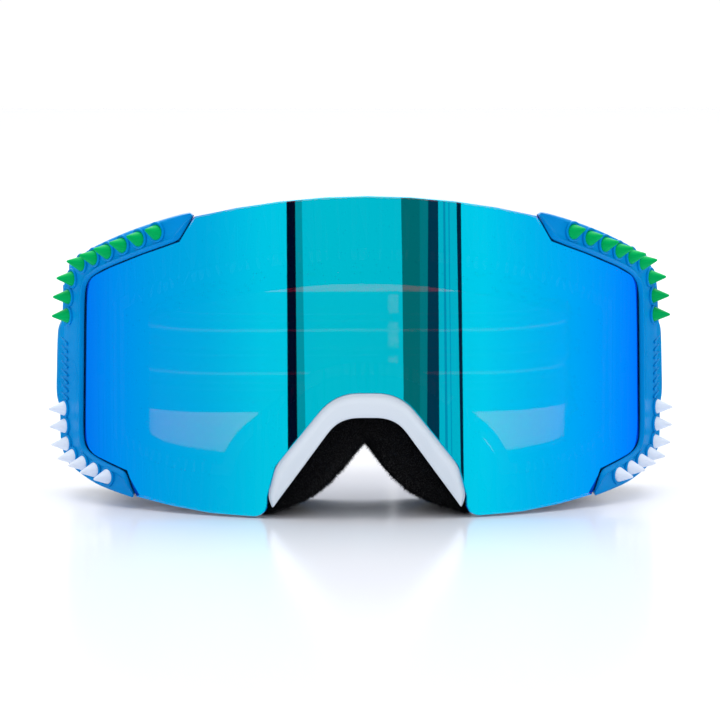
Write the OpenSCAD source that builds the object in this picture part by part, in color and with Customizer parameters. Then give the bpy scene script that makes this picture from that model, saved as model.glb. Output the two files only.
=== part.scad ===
// Ski goggles: a magnetic cylindrical lens in a vented frame, with spiked side frames, a nose rim,
// three layers of face foam, hinged strap arms and an adjustable head strap.
// They stand on their lower edge with the lens towards -Y. The origin is on the ground, on the axis
// of the lens's cylinder. Left and right are the wearer's, so the left side is +X.

/* [Lens] */
// Outside radius of the cylindrical lens
lens_r = 100; // [98:0.5:102]
// Thickness of the outer lens
lens_t = 1.4; // [1:0.1:1.8]
// Height of the lens's top edge at the middle
lens_top = 94.5; // [92:0.5:96]
// Height of the lens's lowest edge
lens_low = 0.4; // [0.2:0.1:1]
// Half the lens's width, seen from the front
lens_half = 84.2; // [83:0.1:84.6]
// Gap all round the lens
lens_gap = 0.5; // [0.3:0.1:0.8]
// Thickness of the inner lens
inner_lens_t = 0.8; // [0.6:0.1:1]
// Outside radius of the inner lens
inner_lens_r = 94; // [93:0.5:94.5]

/* [Frame] */
// Radius of the frame's front face, which the lens lies against
seat_r = 97; // [96.5:0.1:97]
// Thickness of the frame's walls and flanges
wall = 2.2; // [1.8:0.1:2.6]
// Width of the frame's flanges
flange_w = 11; // [10:0.5:12]
// Half the frame's width
frame_half = 86.5; // [86:0.1:87]
// How far the frame's top edge lies below the lens's top edge
frame_drop = 3.5; // [3:0.5:4]

/* [Nose rim] */
// Height of the rim's outer arch
rim_top = 36.9; // [36:0.1:38]
// Height of the rim's inner arch
rim_inner_top = 30; // [29:0.1:31]
// Radius of the rim's front face
rim_r = 100.4; // [100:0.1:101]

/* [Side frames] */
// Radius of the side frames' outer face
side_r = 101.5; // [101:0.1:102]
// Half the width across the side frames at mid height
side_half = 91.4; // [91:0.1:92]
// How far the side panel stands out
panel_lift = 1.6; // [1:0.1:2]

/* [Spikes] */
// Height of a spike
spike_h = 4.9; // [4:0.1:7]
// Radius of a spike's foot
spike_foot_r = 2.4; // [2:0.1:2.6]
// Radius of the stem that plugs into the side frame
spike_stem_r = 1.1; // [0.8:0.1:1.4]

/* [Magnets] */
// Radius of a magnet
magnet_r = 2.3; // [1.8:0.1:2.4]
// Thickness of a magnet in the frame
magnet_t = 1.6; // [1:0.1:1.8]

/* [Face foam] */
// Radius of the curve that follows the face
face_r = 116; // [112:1:120]
// Thickness of the dense base layer
foam_base_t = 4; // [3:0.5:5]
// Thickness of the soft middle layer
foam_mid_t = 6; // [5:0.5:7]
// Thickness of the fleece against the face
fleece_t = 2; // [1.5:0.1:2.5]
// Width of the foam ring
foam_w = 13; // [11:0.5:14]
// Height of the foam's opening at the brow, where the ring is widest
brow_z = 66; // [64:0.5:70]

/* [Strap arms] */
// Radius of a hinge barrel
barrel_r = 3.2; // [3:0.1:3.4]
// Radius of the hinge pin
pin_r = 1.5; // [1.2:0.1:1.7]
// Running clearance of the arm on its pin
pin_play = 0.05; // [0.03:0.01:0.08]

/* [Strap] */
// Width of the strap
strap_w = 42; // [38:1:46]
// Thickness of the strap
strap_t = 1.8; // [1.4:0.1:2]
// Height of the strap's middle at the arms
strap_z = 43; // [41:0.5:45]
// How far the strap hangs down at the back
strap_sag = 10.5; // [0:0.5:14]
// Angle at which the strap runs inwards from the arms
strap_toe = 5; // [3:0.5:6]

/* [Hidden] */
$fn = 48;
eps = 0.01;

far = 120;                       // beyond the goggles on every side
foam_t = foam_base_t + foam_mid_t + fleece_t;
face_y = 64;                     // the face curve's centre
rear_r = face_r + foam_t;        // the curve of the frame's rear face
top_bend = 390;                  // twice the radius of the top edge's arc
low_bend = 328;                  // twice the radius of the lower edge's arc
low_x = 34;                      // where each lobe is lowest
fit_gap = 0.3;                   // between the lens and the frame
carrier_r = seat_r + fit_gap;
carrier_edge = flange_w + 0.3;   // the carrier ends just outside the frame's opening
gasket_edge = flange_w + 0.6;
gasket_w = 3.4;

hinge_x = 89.2;
hinge_y = -19.5;
knuckle_z = [24.5, 56.8];        // lower ends of the two side-frame knuckles
knuckle_h = 6.7;
hinge_gap = 0.3;
arm_low = knuckle_z[0] + knuckle_h + hinge_gap;
arm_high = knuckle_z[1] - hinge_gap;
arm_t = 3.2;
arm_x = 89.5;                    // the arm's mid plane
bar_y = 5.5;                     // the bar that the strap goes round
bar_r = 1.8;
slot_front = -0.5;
side_rear = -23.2;               // rear end of the side frames' walls

loop_r = bar_r + 0.2 + strap_t / 2;
layer_gap = 0.1;
strap_x = arm_x + 0.9;           // the strap's mid plane where its straight run starts
run_start = 14;
run_end = 56;
tail_end = 53;
rear_y = rim_r - strap_t / 2;    // the back of the strap's mid plane
slider_y = 28;
slider_l = 15;
slider_wall = 1.6;
slider_rail = 3;
slider_play = 0.35;
join_gap = 0.15;                 // between the strap loops and the rear strap

top_spikes = 6;
side_spikes = 3;
low_spikes = 4;
spike_pitch = 3.92;              // degrees along the cylinder
stem_l = 2.4;

screw_y = -38;
screw_z = [27, 55];
screw_r = 1;
screw_head_r = 1.9;
screw_head_h = 1.2;
screw_end = 89.9;

// ---- Outlines -------------------------------------------------------------------------------

function unit(v) = v / norm(v);
function flat(p) = [p.x, p.y];
function turn(a, b, c) = cross(flat(b) - flat(a), flat(c) - flat(b));

// An arc of radius r that replaces the corner b between a and c.
function corner(a, b, c, r, n = 6) =
    let (
        u = unit(flat(a) - flat(b)),
        w = unit(flat(c) - flat(b)),
        half = acos(u * w) / 2,
        o = flat(b) + unit(u + w) * r / sin(half),
        p = flat(b) + u * r / tan(half) - o,
        q = flat(b) + w * r / tan(half) - o,
        start = atan2(p.y, p.x),
        sweep = (atan2(q.y, q.x) - start + 540) % 360 - 180
    )
    [for (i = [0:n]) o + r * [cos(start + sweep * i / n), sin(start + sweep * i / n)]];

// A cage of [x, z, radius] corners as a rounded outline.
function rounded(cage) =
    let (n = len(cage))
    [for (i = [0:n - 1])
        each cage[i][2] > 0
            ? corner(cage[(i + n - 1) % n], cage[i], cage[(i + 1) % n], cage[i][2])
            : [flat(cage[i])]];

// A clockwise cage moved inwards by d: hollow corners grow rounder and outer ones sharper.
function inset(cage, d) =
    let (n = len(cage))
    [for (i = [0:n - 1])
        let (
            a = cage[(i + n - 1) % n],
            b = cage[i],
            c = cage[(i + 1) % n],
            u = unit(flat(b) - flat(a)),
            w = unit(flat(c) - flat(b)),
            m = [u.y + w.y, -u.x - w.x] / (1 + u * w),
            r = b[2] == 0 ? 0 : turn(a, b, c) < 0 ? max(b[2] - d, 1) : b[2] + d
        )
        [b.x + m.x * d, b.y + m.y * d, r]];

// A right half that runs clockwise from the top middle, closed with its mirror image.
function both_halves(half) =
    concat(half, [for (i = [len(half) - 1:-1:0]) if (half[i].x > eps) [-half[i].x, half[i].y, half[i][2]]]);

function top_arc(top, xs) = [for (x = xs) [x, top - x * x / top_bend, 0]];
function low_arc(low, xs) = [for (x = xs) [x, low + (x - low_x) * (x - low_x) / low_bend, 0]];

// The lens steps in below its top corners and above its lower ones, where the side frames' tips lie.
lens_cage = both_halves(concat(
    top_arc(lens_top, [0:12.6:50.4]),
    [[55, 79.7, 0], [66, 75.5, 0], [76, 71.1, 0], [lens_half - 0.9, 67, 5]],
    [[lens_half + 0.1, 15.6, 5], [71.3, 11.4, 0], [68.9, 4, 0]],
    low_arc(lens_low, [58, 46]),
    [[29.4, lens_low, 3], [29.15, 6, 0], [27, 15.5, 3], [9.1, rim_top + 0.35, 14]]
));

frame_cage = both_halves(concat(
    top_arc(lens_top - frame_drop, [0:12.5:50]),
    [[62, 80.6, 0], [76, 74.3, 0], [frame_half, 67.5, 12], [frame_half, 13, 9], [70, 4.2, 0]],
    low_arc(0, [58, 46]),
    [[30.5, 0, 3], [27.3, 14, 6], [8.2, 31, 12]]
));

// The foam comes down lower over the nose, in a peak with hollow sides.
foam_cage = both_halves(concat(
    top_arc(lens_top - frame_drop - 1.6, [0:12.5:50]),
    [[62, 78.8, 0], [75, 73, 0], [frame_half - 2.3, 66, 11], [frame_half - 2.3, 14, 9], [69, 4.4, 0]],
    low_arc(0, [58, 46]),
    [[28, 0, 0], [20, 0.7, 0], [13, 3.7, 0], [6.5, 8.8, 0], [0, 17.6, 0]]
));

side_cage = [
    [50.7, 88.1, 0], [52.2, 88.6, 0], [61.7, 85.1, 0], [71.5, 81.3, 0], [84, 75, 8],
    [side_half - 0.2, 67, 9], [side_half + 1.6, 12, 7], [81, 6.2, 0], [69.4, 3.5, 0],
    [66, 20, 0], [48, 80, 0]
];

rim_outer = both_halves([
    [0, rim_top, 0], [8.95, rim_top, 14], [26.6, 15.4, 3], [28.75, 6, 0], [28.95, 3, 0]
]);
rim_inner = both_halves([[0, rim_inner_top, 0], [7.76, rim_inner_top, 10], [31, -2, 0]]);

// ---- Solids from outlines -------------------------------------------------------------------

module along_y(points, low = -far, high = far)
    translate([0, high, 0]) rotate([90, 0, 0]) linear_extrude(high - low) polygon(points);

module along_x(points, low, high)
    translate([low, 0, 0]) rotate([90, 0, 90]) linear_extrude(high - low) polygon(points);

module barrel(r, low = -1, high = 100) translate([0, 0, low]) cylinder(h = high - low, r = r, $fn = 180);

module face_barrel(r) translate([0, face_y, 0]) barrel(r);

// A wall between two radii of the lens's cylinder, front half only.
module shell(inner, outer) {
    difference() {
        barrel(outer);
        barrel(inner, -2, 101);
        translate([-far, 0, -3]) cube([2 * far, far, 110]);
    }
}

// A place on the lens's cylinder, t degrees round from the front, with +Z pointing outwards.
module on_barrel(t, z, r, lift = 0)
    translate([r * sin(t), -r * cos(t), z]) rotate([90 - lift, 0, t]) children();

module both_sides() {
    children();
    mirror([1, 0, 0]) children();
}

module right_side() mirror([1, 0, 0]) children();

// ---- Frame ----------------------------------------------------------------------------------

function mid_y(x) = (face_y - sqrt(pow(rear_r, 2) - x * x) - sqrt(pow(seat_r, 2) - x * x)) / 2;

module vent(x, w, depth, low, high) {
    translate([x, mid_y(x), low]) linear_extrude(high - low) {
        square([w - depth, depth], center = true);
        for (s = [-1, 1]) translate([s * (w - depth) / 2, 0]) circle(d = depth);
    }
}

module magnet_places(r) {
    for (s = [-1, 1]) {
        on_barrel(s * 11, 86, r) children();
        on_barrel(s * 27, 81.8, r) children();
        on_barrel(s * 53.5, 41, r) children();
        on_barrel(s * 25.5, 7, r) children();
    }
}

module main_frame() {
    color("whitesmoke") difference() {
        intersection() {
            along_y(rounded(frame_cage));
            barrel(seat_r);
        }
        along_y(rounded(inset(frame_cage, flange_w)));
        face_barrel(rear_r);
        difference() {
            intersection() {
                along_y(rounded(inset(frame_cage, wall)));
                barrel(seat_r - wall);
            }
            face_barrel(rear_r + wall);
        }
        for (i = [-4:4]) vent(i * 14, 11, 7, 70, 100);
        for (x = [44, 56, 68]) both_sides() vent(x, 9, 5, -5, 9);
        magnet_places(seat_r - magnet_t) cylinder(h = 5, r = magnet_r);
        for (z = screw_z) both_sides() translate([80, screw_y, z]) rotate([0, 90, 0]) cylinder(h = 10, r = 1.15);
    }
}

module nose_rim() {
    color("white") difference() {
        intersection() {
            along_y(rounded(rim_outer));
            shell(seat_r, rim_r);
        }
        along_y(rounded(rim_inner));
    }
}

module frame_magnets() {
    color("silver") intersection() {
        magnet_places(seat_r - magnet_t) cylinder(h = 5, r = magnet_r);
        barrel(seat_r);
    }
}

module vent_foam() {
    color("dimgray") difference() {
        intersection() {
            along_y(rounded(inset(frame_cage, wall)));
            barrel(seat_r - wall);
            children();
        }
        along_y(rounded(inset(frame_cage, wall + 2)));
        face_barrel(rear_r + wall);
    }
}

module top_vent_foam() vent_foam() translate([-63, -far, 70]) cube([126, far, 30]);

module bottom_vent_foam_left() vent_foam() translate([38, -far, 0]) cube([36, far, 9]);

module bottom_vent_foam_right() right_side() bottom_vent_foam_left();

// ---- Face foam ------------------------------------------------------------------------------

module foam_opening() {
    brow = [for (x = [-80:16:80]) [x, brow_z - x * x / top_bend]];
    intersection() {
        along_y(rounded(inset(foam_cage, foam_w)));
        along_y(concat(brow, [[80, -10], [-80, -10]]));
    }
}

module foam_layer(front, t) {
    difference() {
        intersection() {
            along_y(rounded(foam_cage), -far, 0);
            face_barrel(front);
        }
        face_barrel(front - t);
        foam_opening();
    }
}

module foam_base() color("black") foam_layer(rear_r, foam_base_t);

module foam_mid() color("#202022") foam_layer(rear_r - foam_base_t, foam_mid_t);

module fleece_liner() color("#2a2a2d") foam_layer(face_r + fleece_t, fleece_t);

// ---- Side frames and spikes -----------------------------------------------------------------

// Each row is [turn round the cylinder, height, upward lean].
green_spots = concat(
    [for (i = [0:top_spikes - 1]) [37.6 + spike_pitch * i, 83.1 - 2.16 * i, 10]],
    [for (i = [0:side_spikes - 1]) [62.6 - 1.9 * pow(1 - i / 2, 2), 67.7 - 5.75 * i, 3 - 1.5 * i]]
);
white_spots = concat(
    [for (i = [0:side_spikes - 1]) [64.3 - 0.25 * i * i, 27.8 - 5.35 * i, 0]],
    [for (i = [0:low_spikes - 1]) [60.9 - 3.72 * i, 13.5 - 1.4 * i, -4]]
);

module spikes(spots) {
    for (s = spots) on_barrel(s[0], s[1], side_r, s[2]) {
        difference() {
            translate([0, 0, -0.6]) cylinder(h = spike_h + 0.6, r1 = spike_foot_r, r2 = 0.4);
            rotate([s[2], 0, 0]) translate([0, 0, -4]) cube([12, 12, 8], center = true);
        }
        translate([0, 0, -stem_l]) cylinder(h = stem_l + 1, r = spike_stem_r);
    }
}

module green_spikes_left() color("mediumseagreen") spikes(green_spots);

module green_spikes_right() right_side() green_spikes_left();

module white_spikes_left() color("aliceblue") spikes(white_spots);

module white_spikes_right() right_side() white_spikes_left();

// The wall's side view: it narrows towards the hinge.
side_wall_view = [
    [-far, 100], [-48, 100], [-44, 71], [side_rear, 65], [side_rear, 21], [-40, 10], [-48, 0], [-far, 0]
];

// The raised panel slopes outwards from the front face, and slanted ribs are stacked on its slope.
module side_panel() {
    low = 28;
    high = 51;
    out = side_half + 0.9 + panel_lift;
    slope_start = [out - 3.6, -45.6];
    slope_end = [out, -38.4];
    slope = atan2(slope_end.x - slope_start.x, slope_end.y - slope_start.y);
    middle = (slope_start + slope_end) / 2;
    intersection() {
        along_y([[88, low], [out, low + 1], [out - 0.5, high], [side_half - 0.2, high + 2.5], [88, high + 2.5]],
                -45.6, side_rear - 1.5);
        linear_extrude(100) polygon([
            slope_start, slope_end, [out, side_rear], [88, side_rear], [88, slope_start.y]
        ]);
    }
    for (i = [0:7]) translate([middle.x, middle.y, low + 3.2 + i * 2.4])
        rotate([0, 0, -slope]) rotate([20, 0, 0]) cube([0.6, 5.2, 0.9], center = true);
}

module side_frame_left() {
    color("deepskyblue") difference() {
        union() {
            intersection() {
                along_y(rounded(side_cage), -far, side_rear);
                barrel(side_r);
                along_x(side_wall_view, 40, far);
            }
            side_panel();
            for (s = concat(green_spots, white_spots))
                on_barrel(s[0], s[1], seat_r, s[2]) cylinder(h = side_r - seat_r, r = 2.55);
            for (z = knuckle_z) translate([hinge_x, hinge_y, z]) {
                cylinder(h = knuckle_h, r = barrel_r);
                translate([-barrel_r, side_rear - hinge_y - 1, 0])
                    cube([2 * barrel_r - 1, hinge_y - side_rear + 1, knuckle_h]);
            }
        }
        along_y(rounded(inset(lens_cage, -lens_gap)));
        intersection() {
            barrel(seat_r);
            translate([0, -far, 0]) cube([frame_half, far, 100]);
        }
        for (s = concat(green_spots, white_spots))
            on_barrel(s[0], s[1], side_r - stem_l, s[2]) {
                translate([0, 0, stem_l * (1 - cos(s[2]))]) cylinder(h = 6, r = spike_stem_r);
            }
        translate([hinge_x, hinge_y, 10]) cylinder(h = 70, r = pin_r);
        for (z = screw_z) translate([80, screw_y, z]) rotate([0, 90, 0]) cylinder(h = screw_end - 80, r = screw_r);
    }
}

module side_frame_right() right_side() side_frame_left();

module side_frame_screws() {
    inner_x = frame_half - wall;
    color("dimgray") for (z = screw_z) both_sides() translate([inner_x, screw_y, z]) rotate([0, 90, 0]) {
        cylinder(h = screw_end - inner_x, r = screw_r);
        translate([0, 0, -screw_head_h]) difference() {
            cylinder(h = screw_head_h, r = screw_head_r);
            translate([0, 0, -eps]) cylinder(h = 0.7, r = 0.8, $fn = 6);
        }
    }
}

// ---- Lens -----------------------------------------------------------------------------------

module outer_lens() {
    color("darkturquoise") intersection() {
        along_y(rounded(lens_cage));
        shell(lens_r - lens_t, lens_r);
    }
}

module lens_carrier() {
    color("#1b2a33") difference() {
        intersection() {
            along_y(rounded(inset(lens_cage, 0.6)));
            shell(carrier_r, lens_r - lens_t);
        }
        along_y(rounded(inset(frame_cage, carrier_edge)));
        magnet_places(carrier_r - 1) cylinder(h = 4, r = magnet_r);
    }
}

module lens_magnets() {
    color("silver") intersection() {
        magnet_places(carrier_r - 1) cylinder(h = 4, r = magnet_r);
        shell(carrier_r, lens_r - lens_t);
    }
}

module lens_gasket() {
    color("black") difference() {
        intersection() {
            along_y(rounded(inset(frame_cage, gasket_edge)));
            shell(inner_lens_r, lens_r - lens_t);
        }
        along_y(rounded(inset(frame_cage, gasket_edge + gasket_w)));
    }
}

module inner_lens() {
    color([0.9, 0.6, 0.4, 0.6]) intersection() {
        along_y(rounded(inset(frame_cage, gasket_edge + 0.1)));
        shell(inner_lens_r - inner_lens_t, inner_lens_r);
    }
}

// ---- Strap arms -----------------------------------------------------------------------------

module hinge_pin_left() {
    color("silver") translate([hinge_x, hinge_y, knuckle_z[0] - 0.6])
        cylinder(h = knuckle_z[1] + knuckle_h - knuckle_z[0] + 1.2, r = pin_r);
}

module hinge_pin_right() right_side() hinge_pin_left();

arm_half = strap_w / 2 + 5;
arm_view = [
    [hinge_y, arm_low, 0], [hinge_y, arm_high, 0], [-14, arm_high, 4], [-6, strap_z + arm_half, 6],
    [bar_y + bar_r, strap_z + arm_half, 3], [bar_y + bar_r, strap_z - arm_half, 3],
    [-6, strap_z - arm_half, 6], [-14, arm_low, 4]
];
slot_half = strap_w / 2 + 0.8;

module outrigger_arm_left() {
    color("deepskyblue") difference() {
        union() {
            along_x(rounded(arm_view), arm_x - arm_t / 2, arm_x + arm_t / 2);
            translate([hinge_x, hinge_y, arm_low]) cylinder(h = arm_high - arm_low, r = barrel_r);
        }
        translate([arm_x - 5, slot_front, strap_z - slot_half])
            cube([10, bar_y + bar_r - slot_front + 2, 2 * slot_half]);
        for (z = [strap_z - 9, strap_z, strap_z + 9])
            translate([arm_x - 5, -8, z]) rotate([0, 90, 0]) cylinder(h = 10, r = 2.6);
        translate([hinge_x, hinge_y, 0]) cylinder(h = 100, r = pin_r + pin_play);
    }
    color("deepskyblue") translate([arm_x, bar_y, strap_z - slot_half - eps])
        cylinder(h = 2 * slot_half + 2 * eps, r = bar_r);
}

module outrigger_arm_right() right_side() outrigger_arm_left();

// ---- Strap ----------------------------------------------------------------------------------

// A path widened to t, as a closed outline.
function widened(path, t) =
    let (
        n = len(path),
        sides = [for (i = [0:n - 1])
            let (d = unit(path[min(i + 1, n - 1)] - path[max(i - 1, 0)])) [d.y, -d.x] * t / 2]
    )
    concat([for (i = [0:n - 1]) path[i] + sides[i]], [for (i = [n - 1:-1:0]) path[i] - sides[i]]);

toe = [-sin(strap_toe), cos(strap_toe)];
function on_run(y, offset = 0) =
    [strap_x, run_start] + toe * (y - run_start) / toe.y - [toe.y, -toe.x] * offset;
function bezier(a, b, c, d, t) =
    pow(1 - t, 3) * a + 3 * t * pow(1 - t, 2) * b + 3 * t * t * (1 - t) * c + pow(t, 3) * d;

inner_offset = strap_t + layer_gap;
loop_path = concat(
    [on_run(run_end), on_run(run_start)],
    [for (a = [0:-20:-180]) [arm_x, bar_y] + loop_r * [cos(a), sin(a)]],
    [on_run(run_start, inner_offset), on_run(tail_end, inner_offset)]
);
corner_start = on_run(run_end + join_gap);
rear_half = [for (i = [0:16]) bezier(corner_start, corner_start + toe * 33, [47, rear_y], [0, rear_y], i / 16)];
rear_path = concat(rear_half, [for (i = [15:-1:0]) [-rear_half[i].x, rear_half[i].y]]);

function hang(y) = let (s = max(0, (y - run_end) / (rear_y - run_end))) strap_z - strap_sag * s * s * (3 - 2 * s);
function band(half) = concat(
    [for (i = [0:16]) let (y = run_end - 1 + i * 3) [y, hang(y) + half]],
    [for (i = [16:-1:0]) let (y = run_end - 1 + i * 3) [y, hang(y) - half]]
);

module strap_loop_left() {
    color("#23303a") translate([0, 0, strap_z - strap_w / 2]) linear_extrude(strap_w)
        polygon(widened(loop_path, strap_t));
}

module strap_loop_right() right_side() strap_loop_left();

module strap_rear() {
    color("#23303a") intersection() {
        linear_extrude(100) polygon(widened(rear_path, strap_t));
        along_x(band(strap_w / 2), -far, far);
    }
}

grip_t = 0.4;
grip_path = [for (i = [3:len(rear_path) - 4])
    let (d = unit(rear_path[i + 1] - rear_path[i - 1])) rear_path[i] + [-d.y, d.x] * (strap_t + grip_t) / 2];

module strap_grip() {
    color("silver") for (z = [-12, 0, 12]) intersection() {
        linear_extrude(100) polygon(widened(grip_path, grip_t));
        translate([0, 0, z]) along_x(band(1.5), -far, far);
    }
}

module strap_slider_left() {
    half = strap_w / 2 + slider_play + slider_rail;
    out = strap_t / 2 + slider_play + slider_wall;
    in = strap_t / 2 + inner_offset + slider_play + slider_wall;
    centre = on_run(slider_y);
    color("#15181b") translate([centre.x, centre.y, strap_z]) rotate([0, 0, strap_toe]) difference() {
        translate([-in, -slider_l / 2, -half]) cube([in + out, slider_l, 2 * half]);
        translate([slider_wall - in, -slider_l, slider_rail - half])
            cube([in + out - 2 * slider_wall, 2 * slider_l, 2 * (half - slider_rail)]);
        for (s = [-1, 1]) translate([-10, s * 3.4 - 1.9, -strap_w / 2 + 1]) cube([20, 3.8, strap_w - 2]);
    }
}

module strap_slider_right() right_side() strap_slider_left();

main_frame();
nose_rim();
frame_magnets();
top_vent_foam();
bottom_vent_foam_left();
bottom_vent_foam_right();
foam_base();
foam_mid();
fleece_liner();
side_frame_left();
side_frame_right();
side_frame_screws();
green_spikes_left();
green_spikes_right();
white_spikes_left();
white_spikes_right();
outer_lens();
lens_carrier();
lens_magnets();
lens_gasket();
inner_lens();
hinge_pin_left();
hinge_pin_right();
outrigger_arm_left();
outrigger_arm_right();
strap_loop_left();
strap_loop_right();
strap_slider_left();
strap_slider_right();
strap_rear();
strap_grip();
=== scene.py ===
import math
import random

import bmesh
import bpy
from mathutils import Matrix, Vector, noise


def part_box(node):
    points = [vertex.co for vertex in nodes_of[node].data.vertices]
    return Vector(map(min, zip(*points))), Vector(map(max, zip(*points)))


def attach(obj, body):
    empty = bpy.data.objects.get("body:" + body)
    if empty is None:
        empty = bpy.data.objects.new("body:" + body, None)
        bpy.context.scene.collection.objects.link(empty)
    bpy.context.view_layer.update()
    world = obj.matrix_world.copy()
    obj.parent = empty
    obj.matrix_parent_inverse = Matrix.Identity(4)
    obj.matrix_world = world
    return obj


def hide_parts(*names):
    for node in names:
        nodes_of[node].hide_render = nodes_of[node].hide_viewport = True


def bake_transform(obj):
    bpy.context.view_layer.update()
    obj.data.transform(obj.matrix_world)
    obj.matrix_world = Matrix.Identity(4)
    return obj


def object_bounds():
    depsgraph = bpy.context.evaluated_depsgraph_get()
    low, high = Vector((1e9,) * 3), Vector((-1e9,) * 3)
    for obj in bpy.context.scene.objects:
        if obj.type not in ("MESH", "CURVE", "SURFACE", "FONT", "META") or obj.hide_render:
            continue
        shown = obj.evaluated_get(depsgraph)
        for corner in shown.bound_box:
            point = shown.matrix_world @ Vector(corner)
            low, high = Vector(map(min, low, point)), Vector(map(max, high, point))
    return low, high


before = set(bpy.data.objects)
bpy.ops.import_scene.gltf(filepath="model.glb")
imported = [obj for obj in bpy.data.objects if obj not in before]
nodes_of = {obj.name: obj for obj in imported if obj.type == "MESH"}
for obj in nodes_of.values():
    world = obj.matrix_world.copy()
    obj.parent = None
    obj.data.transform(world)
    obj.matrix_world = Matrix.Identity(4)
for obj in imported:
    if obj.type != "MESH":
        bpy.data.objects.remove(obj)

cad_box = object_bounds()

# ---- Camera ---------------------------------------------------------------------------------
# A long lens a metre away, a little above the goggles and a touch to one side. It takes in the
# goggles with plenty of white round them.

aim = Vector((0, -0.1, 0.0479))
camera_distance = 1.0
camera_turn = math.radians(-1.9)
camera_rise = math.radians(5.25)
camera_data = bpy.data.cameras.new("camera")
camera_data.lens = 172.4
camera_data.shift_x = -0.0104167
camera_data.shift_y = -0.0044444
camera_data.dof.use_dof = False
camera = bpy.data.objects.new("camera", camera_data)
bpy.context.scene.collection.objects.link(camera)
sight = Vector((-math.sin(camera_turn) * math.cos(camera_rise),
                math.cos(camera_turn) * math.cos(camera_rise), -math.sin(camera_rise)))
camera.location = aim - sight * camera_distance
camera.rotation_euler = sight.to_track_quat("-Z", "Y").to_euler()
bpy.context.scene.camera = camera
bpy.context.scene.view_settings.view_transform = "Standard"

# ---- Studio ---------------------------------------------------------------------------------
# A white, faintly glossy table top under an even white tent. Grey and black flats stand in front
# of the goggles, where only their gloss sees them, and put the upright bands into the lens.

world = bpy.data.worlds.new("tent")
bpy.context.scene.world = world
world.use_nodes = True
world.node_tree.nodes["Background"].inputs["Color"].default_value = (1, 1, 1, 1)
world.node_tree.nodes["Background"].inputs["Strength"].default_value = 1.02


def staged(name, mesh, material):
    piece = bpy.data.objects.new(name, mesh)
    bpy.context.scene.collection.objects.link(piece)
    mesh.materials.append(material)
    return piece


def table_top_material():
    material = bpy.data.materials.new("table_top")
    material.use_nodes = True
    shader = material.node_tree.nodes["Principled BSDF"]
    shader.label = "White laminate with painted blue shade"
    # Faintly blue, so that its shadows come out bluish: painted blue bounce light in the shade. Where it is
    # lit it clips to white.
    shader.inputs["Base Color"].default_value = (0.915, 0.93, 1.0, 1)
    shader.inputs["Roughness"].default_value = 0.16
    shader.inputs["Specular IOR Level"].default_value = 0.16
    return material


floor_mesh = bpy.data.meshes.new("table_top")
floor_half = 6
floor_mesh.from_pydata([(-floor_half, -floor_half, 0), (floor_half, -floor_half, 0),
                        (floor_half, floor_half, 0), (-floor_half, floor_half, 0)], [], [(0, 1, 2, 3)])
floor = staged("table_top", floor_mesh, table_top_material())
floor.visible_glossy = False


def flat_material(name, colour, strength):
    material = bpy.data.materials.new(name)
    material.use_nodes = True
    nodes, links = material.node_tree.nodes, material.node_tree.links
    nodes.clear()
    glow = nodes.new("ShaderNodeEmission")
    glow.label = "Even grey card"
    glow.inputs["Color"].default_value = (*colour, 1)
    glow.inputs["Strength"].default_value = strength
    output = nodes.new("ShaderNodeOutputMaterial")
    output.location = (220, 0)
    links.new(glow.outputs["Emission"], output.inputs["Surface"])
    return material


flat_distance = 1.6
flat_heights = (-0.208, 0.018)
flat_reach = 4                  # how much further than those heights a flat goes, both ways
# A flat leans: its two edges' bearings, in degrees from the way the lens faces, are given at both heights.
flats = [
    ("flat_black", (-26.34, -22.94), (-25.61, -22.61), 0, (0.012, 0.006, 0.02)),
    ("flat_edge", (-22.94, -20.0), (-22.61, -20.32), 0, (0.42, 0.5, 0.48)),
    ("flat_middle", (-20.0, 15.42), (-20.32, 13.17), 0, (0.85, 0.85, 0.84)),
    ("flat_dim", (15.42, 20.94), (13.17, 19.42), 0, (0.3, 0.24, 0.21)),
    ("flat_less_dim", (20.94, 23.21), (19.42, 22.35), 0, (0.3, 0.31, 0.28)),
    ("flat_dark", (23.21, 27.77), (22.35, 25.82), 0, (0.04, 0.06, 0.09)),
    ("flat_side", (27.77, 34.73), (25.82, 32.26), 0, (0.7, 0.76, 0.74)),
    ("flat_line", (29.9, 30.79), (27.57, 28.27), 0.01, (0.5, 0.46, 0.55)),
    ("flat_thin_line", (32.04, 32.39), (29.33, 29.68), 0.01, (0.5, 0.5, 0.6)),
    ("flat_black_line", (34.73, 35.82), (32.26, 32.73), 0, (0.02, 0.025, 0.05)),
    ("flat_right_flag", (-165, -117), (-165, -117), 0, (0.0, 0.22, 0.42)),
    ("flat_left_flag", (117, 165), (117, 165), 0, (0.0, 0.22, 0.42)),
]
for name, low_edges, high_edges, nearer, colour in flats:
    steps = max(1, round((low_edges[1] - low_edges[0]) / 2))
    rows = []
    for level in (-flat_reach, flat_reach + 1):
        row = []
        for step in range(steps + 1):
            low = low_edges[0] + (low_edges[1] - low_edges[0]) * step / steps
            high = high_edges[0] + (high_edges[1] - high_edges[0]) * step / steps
            bearing = math.radians(low + (high - low) * level)
            radius = flat_distance - nearer
            row.append((radius * math.sin(bearing), -radius * math.cos(bearing),
                        flat_heights[0] + (flat_heights[1] - flat_heights[0]) * level))
        rows.append(row)
    mesh = bpy.data.meshes.new(name)
    mesh.from_pydata(rows[0] + rows[1], [],
                     [(i, i + 1, i + steps + 2, i + steps + 1) for i in range(steps)])
    flat = staged(name, mesh, flat_material(name, colour, 1))
    for sees in ("visible_camera", "visible_diffuse", "visible_shadow", "visible_transmission"):
        setattr(flat, sees, False)

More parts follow.
